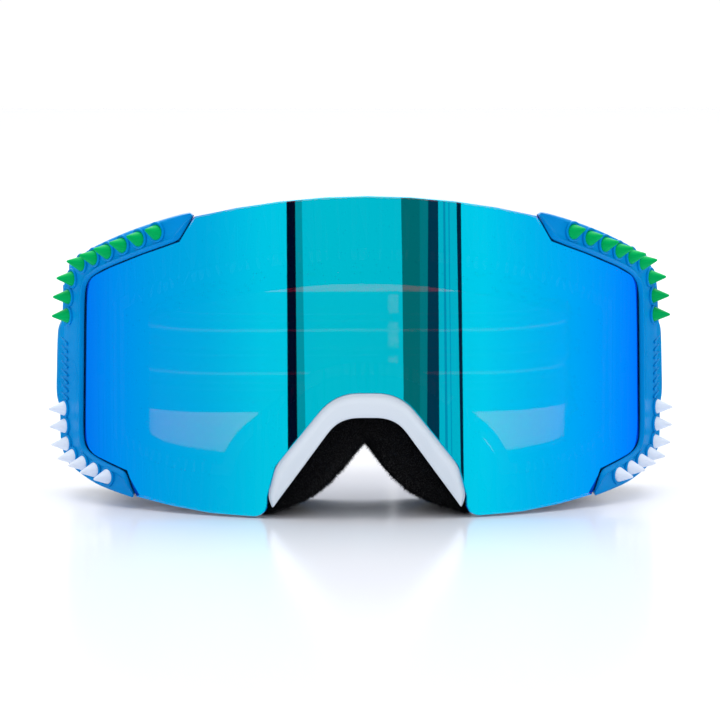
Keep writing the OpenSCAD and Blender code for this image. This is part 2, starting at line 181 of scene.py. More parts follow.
for name, place, size, watts in (("softbox_over", (0.0, 0.1, 1.1), 1.2, 8),
                                 ("softbox_behind", (0.0, 1.1, 0.9), 1.2, 5)):
    light_data = bpy.data.lights.new(name, "AREA")
    light_data.size = size
    light_data.energy = watts
    light = bpy.data.objects.new(name, light_data)
    light.location = place
    light.rotation_euler = (Vector((0, 0, 0.03)) - Vector(place)).to_track_quat("-Z", "Y").to_euler()
    bpy.context.scene.collection.objects.link(light)

# ---- Lens -----------------------------------------------------------------------------------
# One cylindrical sheet of polycarbonate with a mirror coat. It is cut to an outline that steps in
# under its top corners and leaves the nose free. Magnets behind it hold it to the frame.

MM = 0.001
lens_radius = 100
lens_thickness = 1.4
lens_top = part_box("outer_lens")[1].z / MM
lens_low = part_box("outer_lens")[0].z / MM
lens_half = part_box("outer_lens")[1].x / MM
brow_bend = 390                 # twice the radius of the top edges' arc
lobe_bend = 328                 # twice the radius of the lower edges' arc
lobe_x = 34                     # where each lobe is lowest


def rounded(cage, closed=True, steps=6):
    """Corners (x, z, radius) as an outline of points (x, z). An open cage keeps its two ends."""
    outline = []
    for i, (x, z, radius) in enumerate(cage):
        at_end = not closed and i in (0, len(cage) - 1)
        if radius == 0 or at_end:
            outline.append((x, z))
            continue
        here = Vector((x, z))
        before = (Vector(cage[i - 1][:2]) - here).normalized()
        after = (Vector(cage[(i + 1) % len(cage)][:2]) - here).normalized()
        half = before.angle(after) / 2
        centre = here + (before + after).normalized() * radius / math.sin(half)
        first = here + before * radius / math.tan(half) - centre
        last = here + after * radius / math.tan(half) - centre
        start = math.atan2(first.y, first.x)
        sweep = (math.atan2(last.y, last.x) - start + 3 * math.pi) % (2 * math.pi) - math.pi
        for step in range(steps + 1):
            angle = start + sweep * step / steps
            outline.append((centre.x + radius * math.cos(angle), centre.y + radius * math.sin(angle)))
    return outline


def both_halves(half):
    """A right half from the top middle down, closed with its mirror image."""
    return half + [(-x, z, radius) for x, z, radius in reversed(half) if x > 0]


def top_arc(top, xs):
    return [(x, top - x * x / brow_bend, 0) for x in xs]


def lobe_arc(low, xs):
    return [(x, low + (x - lobe_x) ** 2 / lobe_bend, 0) for x in xs]


def wrapped_sheet(name, outline, radius, column):
    """An outline seen from the front, laid on a cylinder, with vertices every few (column) degrees."""
    build = bmesh.new()
    build.faces.new([build.verts.new((x, 0, z)) for x, z in outline])
    widest = max(x for x, z in outline)
    turns = int(math.degrees(math.asin(widest / radius)) / column)
    cuts = {round(radius * math.sin(math.radians(column * i)), 4) for i in range(-turns, turns + 1)}
    for x in sorted(cuts):
        bmesh.ops.bisect_plane(build, geom=build.verts[:] + build.edges[:] + build.faces[:], dist=1e-5,
                               plane_co=(x, 0, 0), plane_no=(1, 0, 0))
    bmesh.ops.remove_doubles(build, verts=build.verts, dist=1e-3)
    for vertex in build.verts:
        vertex.co = Vector((vertex.co.x, -math.sqrt(radius ** 2 - vertex.co.x ** 2), vertex.co.z)) * MM
    bmesh.ops.recalc_face_normals(build, faces=build.faces)
    if sum(face.normal.y * face.calc_area() for face in build.faces) > 0:
        bmesh.ops.reverse_faces(build, faces=build.faces)
    mesh = bpy.data.meshes.new(name)
    build.to_mesh(mesh)
    build.free()
    return mesh


def piece_of(name, mesh, material, body, slot, *stands_for):
    """A finished mesh as a smooth piece that rides on a body, unless it is None."""
    piece = bpy.data.objects.new(name, mesh)
    bpy.context.scene.collection.objects.link(piece)
    mesh.materials.clear()
    mesh.materials.append(material)
    mesh.shade_smooth()
    if body:
        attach(piece, body)
    if stands_for:
        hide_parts(*stands_for)
    return piece


def edge_rounded(piece, width, angle=35, segments=2):
    bevel = piece.modifiers.new("rounded edges", "BEVEL")
    bevel.width = width * MM
    bevel.segments = segments
    bevel.limit_method = "ANGLE"
    bevel.angle_limit = math.radians(angle)
    bevel.harden_normals = True


def paint(red, green, blue):
    """A colour given from 0 to 255 as a shader's linear one."""
    return tuple((c / 255 / 12.92 if c <= 10 else ((c / 255 + 0.055) / 1.055) ** 2.4)
                 for c in (red, green, blue)) + (1,)


def mirror_coat():
    """Thin metal layers that turn from teal in the middle to blue at the sides, and let red light through."""
    material = bpy.data.materials.new("mirror_coat")
    material.use_nodes = True
    nodes, links = material.node_tree.nodes, material.node_tree.links
    nodes.clear()
    place = nodes.new("ShaderNodeTexCoord")
    place.label = "Place on the lens"
    split = nodes.new("ShaderNodeSeparateXYZ")
    split.label = "Across the lens"
    across = nodes.new("ShaderNodeMapRange")
    across.label = "Right end to left end"
    across.inputs["From Min"].default_value = -0.085
    across.inputs["From Max"].default_value = 0.085
    layers = nodes.new("ShaderNodeValToRGB")
    layers.label = "Coat's colour"
    stops = [(0.0, (0, 122, 240)), (0.06, (0, 142, 236)), (0.13, (0, 156, 226)), (0.22, (0, 170, 222)),
             (0.32, (0, 194, 226)), (0.43, (0, 200, 224)), (0.58, (0, 196, 220)), (0.7, (0, 200, 234)),
             (0.8, (0, 178, 236)), (0.9, (0, 158, 246)), (1.0, (0, 128, 255))]
    for position, colour in stops[1:-1]:
        layers.color_ramp.elements.new(position)
    for element, (position, colour) in zip(layers.color_ramp.elements, stops):
        element.position = position
        element.color = paint(*colour)
    haze = nodes.new("ShaderNodeTexNoise")
    haze.label = "Uneven coat"
    haze.inputs["Scale"].default_value = 18
    haze.inputs["Detail"].default_value = 2
    faint = nodes.new("ShaderNodeMapRange")
    faint.label = "A few percent"
    faint.inputs["To Min"].default_value = 0.96
    faint.inputs["To Max"].default_value = 1.03
    tinted = nodes.new("ShaderNodeVectorMath")
    tinted.label = "Coat with its haze"
    tinted.operation = "SCALE"
    mirror = nodes.new("ShaderNodeBsdfPrincipled")
    mirror.label = "Mirror"
    mirror.inputs["Metallic"].default_value = 1
    mirror.inputs["Roughness"].default_value = 0.02
    mirror.inputs["Specular Tint"].default_value = paint(0, 170, 255)
    through = nodes.new("ShaderNodeBsdfTransparent")
    through.label = "Red light that passes"
    through.inputs["Color"].default_value = (0.34, 0.03, 0.02, 1)
    together = nodes.new("ShaderNodeAddShader")
    together.label = "Reflected and passed"
    output = nodes.new("ShaderNodeOutputMaterial")
    links.new(place.outputs["Object"], split.inputs["Vector"])
    links.new(split.outputs["X"], across.inputs["Value"])
    links.new(across.outputs["Result"], layers.inputs["Fac"])
    links.new(place.outputs["Object"], haze.inputs["Vector"])
    links.new(haze.outputs["Fac"], faint.inputs["Value"])
    links.new(layers.outputs["Color"], tinted.inputs[0])
    links.new(faint.outputs["Result"], tinted.inputs["Scale"])
    links.new(tinted.outputs["Vector"], mirror.inputs["Base Color"])
    links.new(mirror.outputs["BSDF"], together.inputs[0])
    links.new(through.outputs["BSDF"], together.inputs[1])
    links.new(together.outputs["Shader"], output.inputs["Surface"])
    for row, (label, group) in enumerate((("Colour across the lens", (place, split, across, layers)),
                                          ("Haze", (haze, faint, tinted)),
                                          ("Finish", (mirror, through, together, output)))):
        box = nodes.new("NodeFrame")
        box.label = label
        for column, node in enumerate(group):
            node.parent = box
            node.location = (column * 240 + row * 120, -row * 380)
    return material


# Corners (x, z, radius) of the left half, from the top middle round to the arch over the nose.
lens_cage = both_halves(
    top_arc(lens_top, [0, 12.6, 25.2, 37.8, 50.4])
    + [(54.8, 80.5, 0), (66, 76.2, 0), (76, 71.7, 0), (83.3, 67.6, 6), (lens_half + 0.1, 15.4, 6),
       (71.0, 11.2, 0), (68.2, 3.8, 0)]
    + lobe_arc(lens_low, [58, 46])
    + [(29.2, lens_low, 4), (29.25, 6.4, 0), (26.8, 15.5, 3), (9.6, 37.25, 14)])
lens = piece_of("mirror_lens", wrapped_sheet("mirror_lens", rounded(lens_cage), lens_radius, 1.5),
                mirror_coat(), "lens", "lens_mirror", "outer_lens")
sheet_thickness = lens.modifiers.new("thickness", "SOLIDIFY")
sheet_thickness.thickness = lens_thickness * MM
sheet_thickness.offset = -1
edge_rounded(lens, 0.25)

# ---- Nose rim -------------------------------------------------------------------------------
# A glossy white moulding that edges the arch over the nose. It is clipped onto the frame's face,
# a hair's breadth from the lens, and narrows to a point at each foot.

seat_radius = 97                # the frame's front face, which the lens and the rim lie against


def resampled(path, count):
    """The same path with its points evenly spread."""
    lengths = [0]
    for (x0, z0), (x1, z1) in zip(path, path[1:]):
        lengths.append(lengths[-1] + math.hypot(x1 - x0, z1 - z0))
    spread = []
    span = 0
    for i in range(count):
        goal = lengths[-1] * i / (count - 1)
        while span < len(path) - 2 and lengths[span + 1] < goal:
            span += 1
        part = (goal - lengths[span]) / (lengths[span + 1] - lengths[span])
        spread.append(tuple(a + (b - a) * part for a, b in zip(path[span], path[span + 1])))
    return spread


def lofted(name, rings, creases=(), closed=False, end_crease=0.7):
    """Rings of points in millimetres joined to a skin. creases gives (place in the ring, sharpness)."""
    build = bmesh.new()
    loops = [[build.verts.new(Vector(point) * MM) for point in ring] for ring in rings]
    sides = len(rings[0])
    for i in range(len(loops) if closed else len(loops) - 1):
        here, after = loops[i], loops[(i + 1) % len(loops)]
        for k in range(sides):
            build.faces.new((here[k], here[(k + 1) % sides], after[(k + 1) % sides], after[k]))
    sharp = build.edges.layers.float.new("crease_edge")
    if not closed:
        for end in (loops[0], loops[-1]):
            cap = build.faces.new(end)
            for edge in cap.edges:
                edge[sharp] = end_crease
    for place, sharpness in creases:
        for here, after in zip(loops, loops[1:] + loops[:1] if closed else loops[1:]):
            build.edges.get((here[place], after[place]))[sharp] = sharpness
    bmesh.ops.recalc_face_normals(build, faces=build.faces)
    mesh = bpy.data.meshes.new(name)
    build.to_mesh(mesh)
    build.free()
    return mesh


def other_side(rings):
    """The same rings mirrored to the other half, in the order that carries on round."""
    return [[(-x, y, z) for x, y, z in ring] for ring in reversed(rings)]


def on_lens(x, z, radius):
    """A point seen from the front at x, z that lies on the lens's cylinder at that radius."""
    return (x, -math.sqrt(radius ** 2 - x * x), z)


def subdivided(piece, levels):
    smooth = piece.modifiers.new("smooth", "SUBSURF")
    smooth.levels = smooth.render_levels = levels


def moulded(name, colour, shade, roughness, grain, shine=0.4, tint=(1, 1, 1, 1)):
    """Moulded plastic or rubber: a cloudy colour, a fine spark-eroded grain and a mould's sheen."""
    material = bpy.data.materials.new(name)
    material.use_nodes = True
    nodes, links = material.node_tree.nodes, material.node_tree.links
    nodes.clear()
    place = nodes.new("ShaderNodeTexCoord")
    place.label = "Place on the moulding"
    flow = nodes.new("ShaderNodeTexNoise")
    flow.label = "Flow of the pigment"
    flow.inputs["Scale"].default_value = 45
    flow.inputs["Detail"].default_value = 3
    pigment = nodes.new("ShaderNodeValToRGB")
    pigment.label = "Pigment"
    pigment.color_ramp.elements[0].position = 0.3
    pigment.color_ramp.elements[0].color = shade
    pigment.color_ramp.elements[1].position = 0.7
    pigment.color_ramp.elements[1].color = colour
    gloss = nodes.new("ShaderNodeMapRange")
    gloss.label = "Uneven gloss"
    gloss.inputs["To Min"].default_value = roughness * 0.85
    gloss.inputs["To Max"].default_value = roughness * 1.15
    spark = nodes.new("ShaderNodeTexNoise")
    spark.label = "Spark-eroded grain"
    spark.inputs["Scale"].default_value = 2600
    spark.inputs["Detail"].default_value = 2
    relief = nodes.new("ShaderNodeBump")
    relief.label = "Depth of the grain"
    relief.inputs["Strength"].default_value = grain
    relief.inputs["Distance"].default_value = 0.00004
    surface = nodes.new("ShaderNodeBsdfPrincipled")
    surface.label = name.replace("_", " ")
    surface.inputs["Specular IOR Level"].default_value = shine
    surface.inputs["Specular Tint"].default_value = tint
    output = nodes.new("ShaderNodeOutputMaterial")
    links.new(place.outputs["Object"], flow.inputs["Vector"])
    links.new(flow.outputs["Fac"], pigment.inputs["Fac"])
    links.new(flow.outputs["Fac"], gloss.inputs["Value"])
    links.new(place.outputs["Object"], spark.inputs["Vector"])
    links.new(spark.outputs["Fac"], relief.inputs["Height"])
    links.new(pigment.outputs["Color"], surface.inputs["Base Color"])
    links.new(gloss.outputs["Result"], surface.inputs["Roughness"])
    links.new(relief.outputs["Normal"], surface.inputs["Normal"])
    links.new(surface.outputs["BSDF"], output.inputs["Surface"])
    for row, (label, group) in enumerate((("Colour and gloss", (place, flow, pigment, gloss)),
                                          ("Grain", (spark, relief)),
                                          ("Plastic", (surface, output)))):
        box = nodes.new("NodeFrame")
        box.label = label
        for column, node in enumerate(group):
            node.parent = box
            node.location = (column * 240 + row * 240, -row * 400)
    return material


rim_face = 100.4
rim_outer = rounded([(0, 37.15, 0), (9.55, 37.15, 14), (26.7, 15.5, 3), (29.15, 6.4, 2.5), (27.7, 3.3, 0)],
                    closed=False)
rim_inner = rounded([(0, 30, 0), (8.2, 30, 10), (27.1, 3.9, 0)], closed=False)
# Across the rim: how far from its inner edge to its outer one, and the radius there.
rim_section = [(0, seat_radius + 0.05), (0, rim_face - 0.7), (0.05, rim_face - 0.12), (0.12, rim_face),
               (0.58, rim_face - 0.05), (0.78, rim_face - 0.45), (0.94, rim_face - 1.2),
               (1, lens_radius - 0.6), (1, seat_radius + 0.05)]
rim_stations = 22
rim_rings = []
for (ix, iz), (ox, oz) in zip(resampled(rim_inner, rim_stations), resampled(rim_outer, rim_stations)):
    rim_rings.append([on_lens(ix + (ox - ix) * part, iz + (oz - iz) * part, radius)
                      for part, radius in rim_section])
rim_mesh = lofted("nose_rim_moulding", other_side(rim_rings[1:]) + rim_rings,
                  [(0, 0.8), (1, 0.5), (4, 0.4), (8, 0.9), (7, 0.6)])
rim_gloss = moulded("white_gloss_moulding", paint(212, 220, 229), paint(206, 215, 225), 0.22, 0.2, 0.5)
rim = piece_of("nose_rim_moulding", rim_mesh, rim_gloss, "frame", "rim_white", "nose_rim")
subdivided(rim, 2)

# ---- Side frames ----------------------------------------------------------------------------
# Blue mouldings that hold the lens's ends in a C from its top corner to its lower one, and wrap
# round to the hinges. They are screwed to the frame from the inside and carry the spikes.

side_face = 101.2
side_back = -23.2               # where the side walls end, towards the hinge
frame_half = 86.5
# Each station is a point beside the lens and one on the outer edge, from the upper tip to the lower one.
side_stations = [
    ((50.55, 88.35), (51.6, 89.0)), ((51.3, 87.0), (53.4, 88.7)), ((52.9, 84.2), (57.4, 87.5)),
    ((54.3, 81.75), (60.4, 86.5)), ((55.05, 80.85), (62.4, 85.75)), ((57.0, 80.0), (64.0, 85.2)),
    ((61.0, 78.4), (67.2, 83.95)), ((66.2, 76.4), (71.7, 82.1)), ((71.3, 74.1), (77.0, 79.5)),
    ((76.2, 71.9), (82.0, 76.9)), ((79.6, 70.0), (85.6, 74.1)), ((82.0, 68.2), (88.2, 71.3)),
    ((83.4, 65.9), (90.3, 67.8)), ((83.85, 62.6), (91.1, 63.6)), ((84.0, 58.0), (91.4, 58.0)),
    ((84.1, 54.2), (91.55, 54.2)), ((84.15, 51.8), (91.6, 51.8)), ((84.2, 49.0), (91.7, 49.0)),
    ((84.3, 43.0), (91.9, 43.0)), ((84.4, 36.0), (92.1, 36.0)), ((84.5, 30.0), (92.3, 30.0)),
    ((84.55, 27.6), (92.4, 27.6)), ((84.6, 25.4), (92.5, 25.4)), ((84.6, 21.5), (92.6, 21.0)),
    ((84.4, 17.8), (92.5, 16.6)), ((83.4, 15.7), (91.6, 12.9)), ((81.4, 14.4), (89.2, 9.9)),
    ((78.5, 13.2), (85.4, 7.9)), ((74.8, 12.0), (81.2, 6.0)), ((72.0, 11.15), (77.4, 5.0)),
    ((71.0, 10.2), (75.4, 4.6)), ((70.1, 7.6), (72.8, 4.0)), ((68.7, 4.1), (69.2, 3.45)),
]
panel_low, panel_high = 28.2, 51.2
panel_lift = 2.0                # how far the panel stands out from the wall


def eased(value, start, end):
    part = min(max((value - start) / (end - start), 0), 1)
    return part * part * (3 - 2 * part)


def wall_rear(z):
    """How far back the side wall reaches at a height."""
    if z > 65:
        return side_back - 21 * eased(z, 64.5, 71.5)
    return side_back - 17 * eased(-z, -21.5, -10)


def side_ring(inner, outer):
    """The section of the side frame at a station, from behind the lens's edge round to the back."""
    (ix, iz), (ox, oz) = inner, outer
    width = math.hypot(ox - ix, oz - iz)
    scale = min(1, width / 7)
    lift = panel_lift * eased(oz, panel_low - 2, panel_low + 0.6) * eased(-oz, -panel_high - 2.6, -panel_high)
    ring = []
    # The ledge under the lens, the wall beside it, and the bevelled and grooved face.
    for across, radius in ((-1.3 * scale, seat_radius + 0.05), (-1.3 * scale, seat_radius + 0.2),
                           (0, seat_radius + 0.25), (0, lens_radius - 0.1), (0.25 * scale, lens_radius + 0.3),
                           (1.5 * scale, side_face + 0.15), (2.0 * scale, side_face - 0.45),
                           (width - 1.7 * scale, side_face - 0.42), (width - 1.0 * scale, side_face - 0.1),
                           (width - 0.3 * scale, side_face - 0.3)):
        part = across / width
        ring.append(on_lens(ix + (ox - ix) * part, iz + (oz - iz) * part, radius))
    edge_y = on_lens(ox, oz, side_face - 1.1)[1]
    seat_y = on_lens(ox, oz, seat_radius + 0.05)[1]
    wall = eased(ox, 85, 90.5)
    rear_y = seat_y + (max(wall_rear(oz), seat_y) - seat_y) * wall
    inside = min(width * 0.55, 1.2 + 3.4 * wall)
    jx, jz = ox + (ix - ox) * inside / width, oz + (iz - oz) * inside / width
    # Round the outer edge, along the outside of the wall, and back along its inside.
    ring.append((ox + lift * 0.25, edge_y, oz))
    ring.append((ox + lift, edge_y + (rear_y - edge_y) * 0.45, oz))
    ring.append((ox + lift, rear_y - (rear_y - edge_y) * 0.04, oz))
    ring.append((ox + lift - 0.4 * scale, rear_y, oz))
    ring.append((max(jx, frame_half + 0.05) if wall > 0.5 else jx, rear_y, jz))
    front_x = max(jx, frame_half + 0.05) if wall > 0.5 else jx - 0.3 * scale
    ring.append((front_x, on_lens(front_x, 0, seat_radius + 0.05)[1], jz))
    return ring


side_creases = [(0, 1), (1, 1), (2, 1), (3, 0.6), (5, 0.8), (6, 0.7), (8, 0.5), (10, 0.5), (14, 0.8),
                (15, 0.7)]
side_mesh = lofted("side_frame", [side_ring(*station) for station in side_stations], side_creases)
blue_plastic = moulded("blue_moulding", paint(0, 138, 210), paint(0, 128, 200), 0.28, 0.5, 0.12,
                       paint(60, 190, 255))


def for_side(mesh, side):
    """A copy of a mesh that was made for the wearer's left, turned over for the right."""
    copy = mesh.copy()
    copy.name = mesh.name + "_" + side
    if side == "right":
        copy.transform(Matrix.Scale(-1, 4, (1, 0, 0)))
        copy.flip_normals()
    return copy


for side in ("left", "right"):
    moulding = piece_of("side_frame_moulding_" + side, for_side(side_mesh, side), blue_plastic, "frame",
                        "side_blue", "side_frame_" + side)
    subdivided(moulding, 2)

# ---- Spikes ---------------------------------------------------------------------------------
# Rubber cones pushed into the side frames by their stems: nine green ones from the top to the
# middle of each side, and seven white ones from the middle to the lower tip.

spike_height = 4.9
spike_foot = 2.3


def turned(name, profile, steps=32):
    """A shape turned about +Z from a profile of (radius, height), in millimetres, that runs downwards."""
    line = bpy.data.meshes.new(name)
    line.from_pydata([(radius * MM, 0, height * MM) for radius, height in profile],
                     [(i, i + 1) for i in range(len(profile) - 1)], [])
    blank = bpy.data.objects.new(name, line)
    bpy.context.scene.collection.objects.link(blank)
    screw = blank.modifiers.new("turn", "SCREW")
    screw.steps = screw.render_steps = steps
    screw.use_merge_vertices = True
    screw.merge_threshold = 1e-6
    mesh = bpy.data.meshes.new_from_object(blank.evaluated_get(bpy.context.evaluated_depsgraph_get()))
    mesh.name = name
    bpy.data.objects.remove(blank)
    bpy.data.meshes.remove(line)
    return mesh


def gathered(name, parts):
    """Meshes, each moved to its place by a matrix, as one mesh."""
    build = bmesh.new()
    for mesh, placed in parts:
        start = len(build.verts)
        build.from_mesh(mesh)
        build.verts.ensure_lookup_table()
        bmesh.ops.transform(build, matrix=placed, verts=build.verts[start:])
    whole = bpy.data.meshes.new(name)
    build.to_mesh(whole)
    build.free()
    return whole


def spot_place(turn, z, lift):
    """Where a spike stands: its foot on the side frame, its axis out from the cylinder and leaning up."""
    turn, lift = math.radians(turn), math.radians(lift)
    foot = Vector((side_face * math.sin(turn), -side_face * math.cos(turn), z)) * MM
    tipped = Matrix.Rotation(math.radians(90) - lift, 4, "X")
    return Matrix.Translation(foot) @ Matrix.Rotation(turn, 4, "Z") @ tipped


cone = turned("spike", [(0, spike_height), (0.2, spike_height - 0.04), (0.38, spike_height - 0.28),
                        (0.62, spike_height - 0.85), (spike_foot - 0.3, 0.55), (spike_foot - 0.06, -0.05),
                        (spike_foot, -0.35), (spike_foot - 0.1, -0.95), (0, -0.95)])
# Each spot is the turn round the cylinder in degrees, the height, and the lean upwards in degrees.
green_spots = [(37.6 + 3.92 * i, 83.1 - 2.16 * i, 10) for i in range(6)]
green_spots += [(62.6 - 1.9 * (1 - i / 2) ** 2, 67.4 - 5.75 * i, 3 - 1.5 * i) for i in range(3)]
white_spots = [(64.3 - 0.25 * i * i, 27.2 - 5.35 * i, 0) for i in range(3)]
white_spots += [(60.9 - 3.72 * i, 13.0 - 1.4 * i, -4) for i in range(4)]
lip_profile = [(-0.05, 0.0), (0.12, 0.02), (0.3, 0.16), (0.55, 0.14), (0.75, -0.12), (0.75, -0.9),
               (-0.05, -0.9), (-0.05, 0.0)]
socket_lip = turned("socket_lip", [(spike_foot + out, height) for out, height in lip_profile])
green_rubber = moulded("green_rubber", paint(0, 178, 92), paint(0, 164, 80), 0.38, 0.4, 0.12,
                       paint(120, 255, 190))
white_rubber = moulded("white_rubber", paint(234, 240, 248), paint(224, 232, 244), 0.42, 0.4, 0.3)
for colour, spots, material in (("green", green_spots, green_rubber), ("white", white_spots, white_rubber)):
    cones = gathered(colour + "_spikes", [(cone, spot_place(*spot)) for spot in spots])
    lips = gathered(colour + "_sockets", [(socket_lip, spot_place(turn, z, 0)) for turn, z, lift in spots])
    for side in ("left", "right"):
        piece_of(colour + "_cones_" + side, for_side(cones, side), material, "frame", "spike_" + colour,
                 colour + "_spikes_" + side)
        piece_of(colour + "_sockets_" + side, for_side(lips, side), blue_plastic, "frame", "side_blue",
                 "side_frame_" + side)

# ---- Face foam ------------------------------------------------------------------------------
# Three laminated rings follow the face: a dense base that is glued to the frame, a soft middle
# layer, and a fleece against the skin. The two soft ones swell a little between their glue lines.

face_y = 64                     # the face curve's centre
foam_layers = {"foam_base": (128, 124), "foam_mid": (124, 118), "fleece_liner": (118, 116)}
# Half of the ring from the brow round to the nose: a point on its outer edge and one on its opening.
foam_stations = [
    ((0, 88.9), (0, 66.9)), ((12.5, 88.5), (11.5, 66.6)), ((25, 87.3), (23, 65.4)),
    ((37.5, 85.3), (34.5, 63.5)), ((50, 82.5), (46, 60.9)), ((62, 78.8), (56.5, 57.8)),
    ((72, 74.5), (64.5, 55.3)), ((79.5, 69.6), (69.2, 53.2)), ((83.3, 65), (71, 50.5)),
    ((84.2, 60), (71.2, 47)), ((84.2, 50), (71.2, 41)), ((84.2, 40), (71.2, 36)),
    ((84.2, 30), (71.2, 30)), ((84.2, 20), (71.2, 24.5)), ((82.8, 14.2), (70.9, 21.3)),
    ((78, 10.1), (67, 18.4)), ((69, 4.4), (62, 16)), ((58, 1.8), (55, 14.4)),
    ((46, 0.4), (45, 13.4)), ((36, 0.1), (36, 13.1)), ((28, 0.2), (29, 13)),
    ((20, 1.1), (23.5, 13.6)), ((13, 4.4), (18, 16)), ((7, 9.8), (13, 22)),
    ((3.4, 14.6), (8, 29)), ((1.3, 18.4), (3, 36)), ((0, 20.6), (0, 39.5)),
]


def on_face(x, z, radius):
    """A point seen from the front at x, z on a curve that follows the face."""
    return (x, face_y - math.sqrt(radius ** 2 - x * x), z)


def foam_ring(outer, inner, front, rear):
    """A layer's section at a station: its two faces, and two edges that bulge between their glue lines."""
    ring = []
    # How far from the outer edge to the opening, and how far from the front to the rear.
    for part, deep in ((0, 0.06), (-0.035, 0.35), (-0.035, 0.65), (0, 0.94), (0.12, 1), (0.5, 1), (0.88, 1),
                       (1, 0.94), (1.02, 0.65), (1.02, 0.35), (1, 0.06), (0.88, 0), (0.5, 0), (0.12, 0)):
        radius = front + (rear - front) * deep
        bulge = max(part, 0)
        x = outer[0] + (inner[0] - outer[0]) * part
        z = max(outer[1] + (inner[1] - outer[1]) * bulge, 0.05)
        ring.append(on_face(x, z, radius))
    return ring


def foamed(name, colour, shade, cell, depth, sheen):
    """Open-cell foam or brushed fleece: painted shade in the pits between its cells, a rough relief and a
    soft sheen.
    """
    material = bpy.data.materials.new(name)
    material.use_nodes = True
    nodes, links = material.node_tree.nodes, material.node_tree.links
    nodes.clear()
    place = nodes.new("ShaderNodeTexCoord")
    place.label = "Place in the foam"
    cells = nodes.new("ShaderNodeTexVoronoi")
    cells.label = "Open cells"
    cells.feature = "F1"
    cells.inputs["Scale"].default_value = 1000 / cell
    cells.inputs["Randomness"].default_value = 1
    # Painted shade: the colour is darkest at the cells' centres, the pits, and pale on the walls between
    # them.
    pits = nodes.new("ShaderNodeValToRGB")
    pits.label = "Painted shade in the pits, pale walls"
    pits.color_ramp.elements[0].position = 0.1
    pits.color_ramp.elements[0].color = shade
    pits.color_ramp.elements[1].position = 0.75
    pits.color_ramp.elements[1].color = colour
    tufts = nodes.new("ShaderNodeTexNoise")
    tufts.label = "Tufts and pressed places"
    tufts.inputs["Scale"].default_value = 420
    tufts.inputs["Detail"].default_value = 5
    height = nodes.new("ShaderNodeMath")
    height.label = "Cells and tufts"
    height.operation = "ADD"
    relief = nodes.new("ShaderNodeBump")
    relief.label = "Depth of the cells"
    relief.inputs["Strength"].default_value = 0.9
    relief.inputs["Distance"].default_value = depth * 0.001
    surface = nodes.new("ShaderNodeBsdfPrincipled")
    surface.label = name.replace("_", " ")
    surface.inputs["Roughness"].default_value = 0.95
    surface.inputs["Specular IOR Level"].default_value = 0.08
    surface.inputs["Sheen Weight"].default_value = sheen
    surface.inputs["Sheen Roughness"].default_value = 0.45
    output = nodes.new("ShaderNodeOutputMaterial")
    links.new(place.outputs["Object"], cells.inputs["Vector"])
    links.new(place.outputs["Object"], tufts.inputs["Vector"])
    links.new(cells.outputs["Distance"], pits.inputs["Fac"])
    links.new(cells.outputs["Distance"], height.inputs[0])
    links.new(tufts.outputs["Fac"], height.inputs[1])
    links.new(height.outputs["Value"], relief.inputs["Height"])
    links.new(pits.outputs["Color"], surface.inputs["Base Color"])
    links.new(relief.outputs["Normal"], surface.inputs["Normal"])
    links.new(surface.outputs["BSDF"], output.inputs["Surface"])
    for row, (label, group) in enumerate((("Colour", (place, cells, pits)),
                                          ("Relief", (tufts, height, relief)),
                                          ("Foam", (surface, output)))):
        box = nodes.new("NodeFrame")
        box.label = label
        for column, node in enumerate(group):
            node.parent = box
            node.location = (column * 240 + row * 240, -row * 400)
    return material


def settled(piece):
    """The piece's modifiers applied to its mesh."""
    mesh = bpy.data.meshes.new_from_object(piece.evaluated_get(bpy.context.evaluated_depsgraph_get()))
    piece.modifiers.clear()
    old = piece.data
    mesh.name = old.name
    piece.data = mesh
    bpy.data.meshes.remove(old)


def tufted(mesh, size, height):
    """Moves each vertex in or out a little, so that the surface has tufts of that size."""
    for vertex, normal in zip(mesh.vertices, [Vector(v.normal) for v in mesh.vertices]):
        lump = noise.noise(vertex.co / (size * MM)) + 0.5 * noise.noise(vertex.co / (size * 0.4 * MM))
        place = vertex.co + normal * lump * height * MM
        vertex.co = (place.x, place.y, max(place.z, 0))


swelling_steps = 12
glue_depth = 0.25


def swollen(piece, front, rear, pressure, cap):
    """Lets a glued layer swell under cloth pressure, no further than cap from where it was."""
    mesh = piece.data
    glued = piece.vertex_groups.new(name="glued")
    rear_is_glued = rear > foam_layers["fleece_liner"][1]
    for vertex in mesh.vertices:
        radius = math.hypot(vertex.co.x, vertex.co.y - face_y * MM) / MM
        if radius > front - glue_depth or rear_is_glued and radius < rear + glue_depth:
            glued.add([vertex.index], 1, "REPLACE")
    before = [vertex.co.copy() for vertex in mesh.vertices]
    cloth = piece.modifiers.new("swelling", "CLOTH")
    cloth.settings.quality = 5
    cloth.settings.mass = 0.05
    cloth.settings.tension_stiffness = cloth.settings.compression_stiffness = 8
    cloth.settings.bending_stiffness = 0.3
    cloth.settings.use_pressure = True
    cloth.settings.uniform_pressure_force = pressure
    cloth.settings.vertex_group_mass = "glued"
    cloth.settings.effector_weights.gravity = 0
    cloth.collision_settings.use_collision = False
    scene = bpy.context.scene
    for step in range(1, swelling_steps + 1):
        scene.frame_set(step)
    after = piece.evaluated_get(bpy.context.evaluated_depsgraph_get()).data
    moves = [moved.co - start for moved, start in zip(after.vertices, before)]
    piece.modifiers.clear()
    piece.vertex_groups.clear()
    scene.frame_set(1)
    for vertex, start, move in zip(mesh.vertices, before, moves):
        if move.length > cap * MM:
            move = move.normalized() * cap * MM
        place = start + move
        vertex.co = (place.x, place.y, max(place.z, 0))
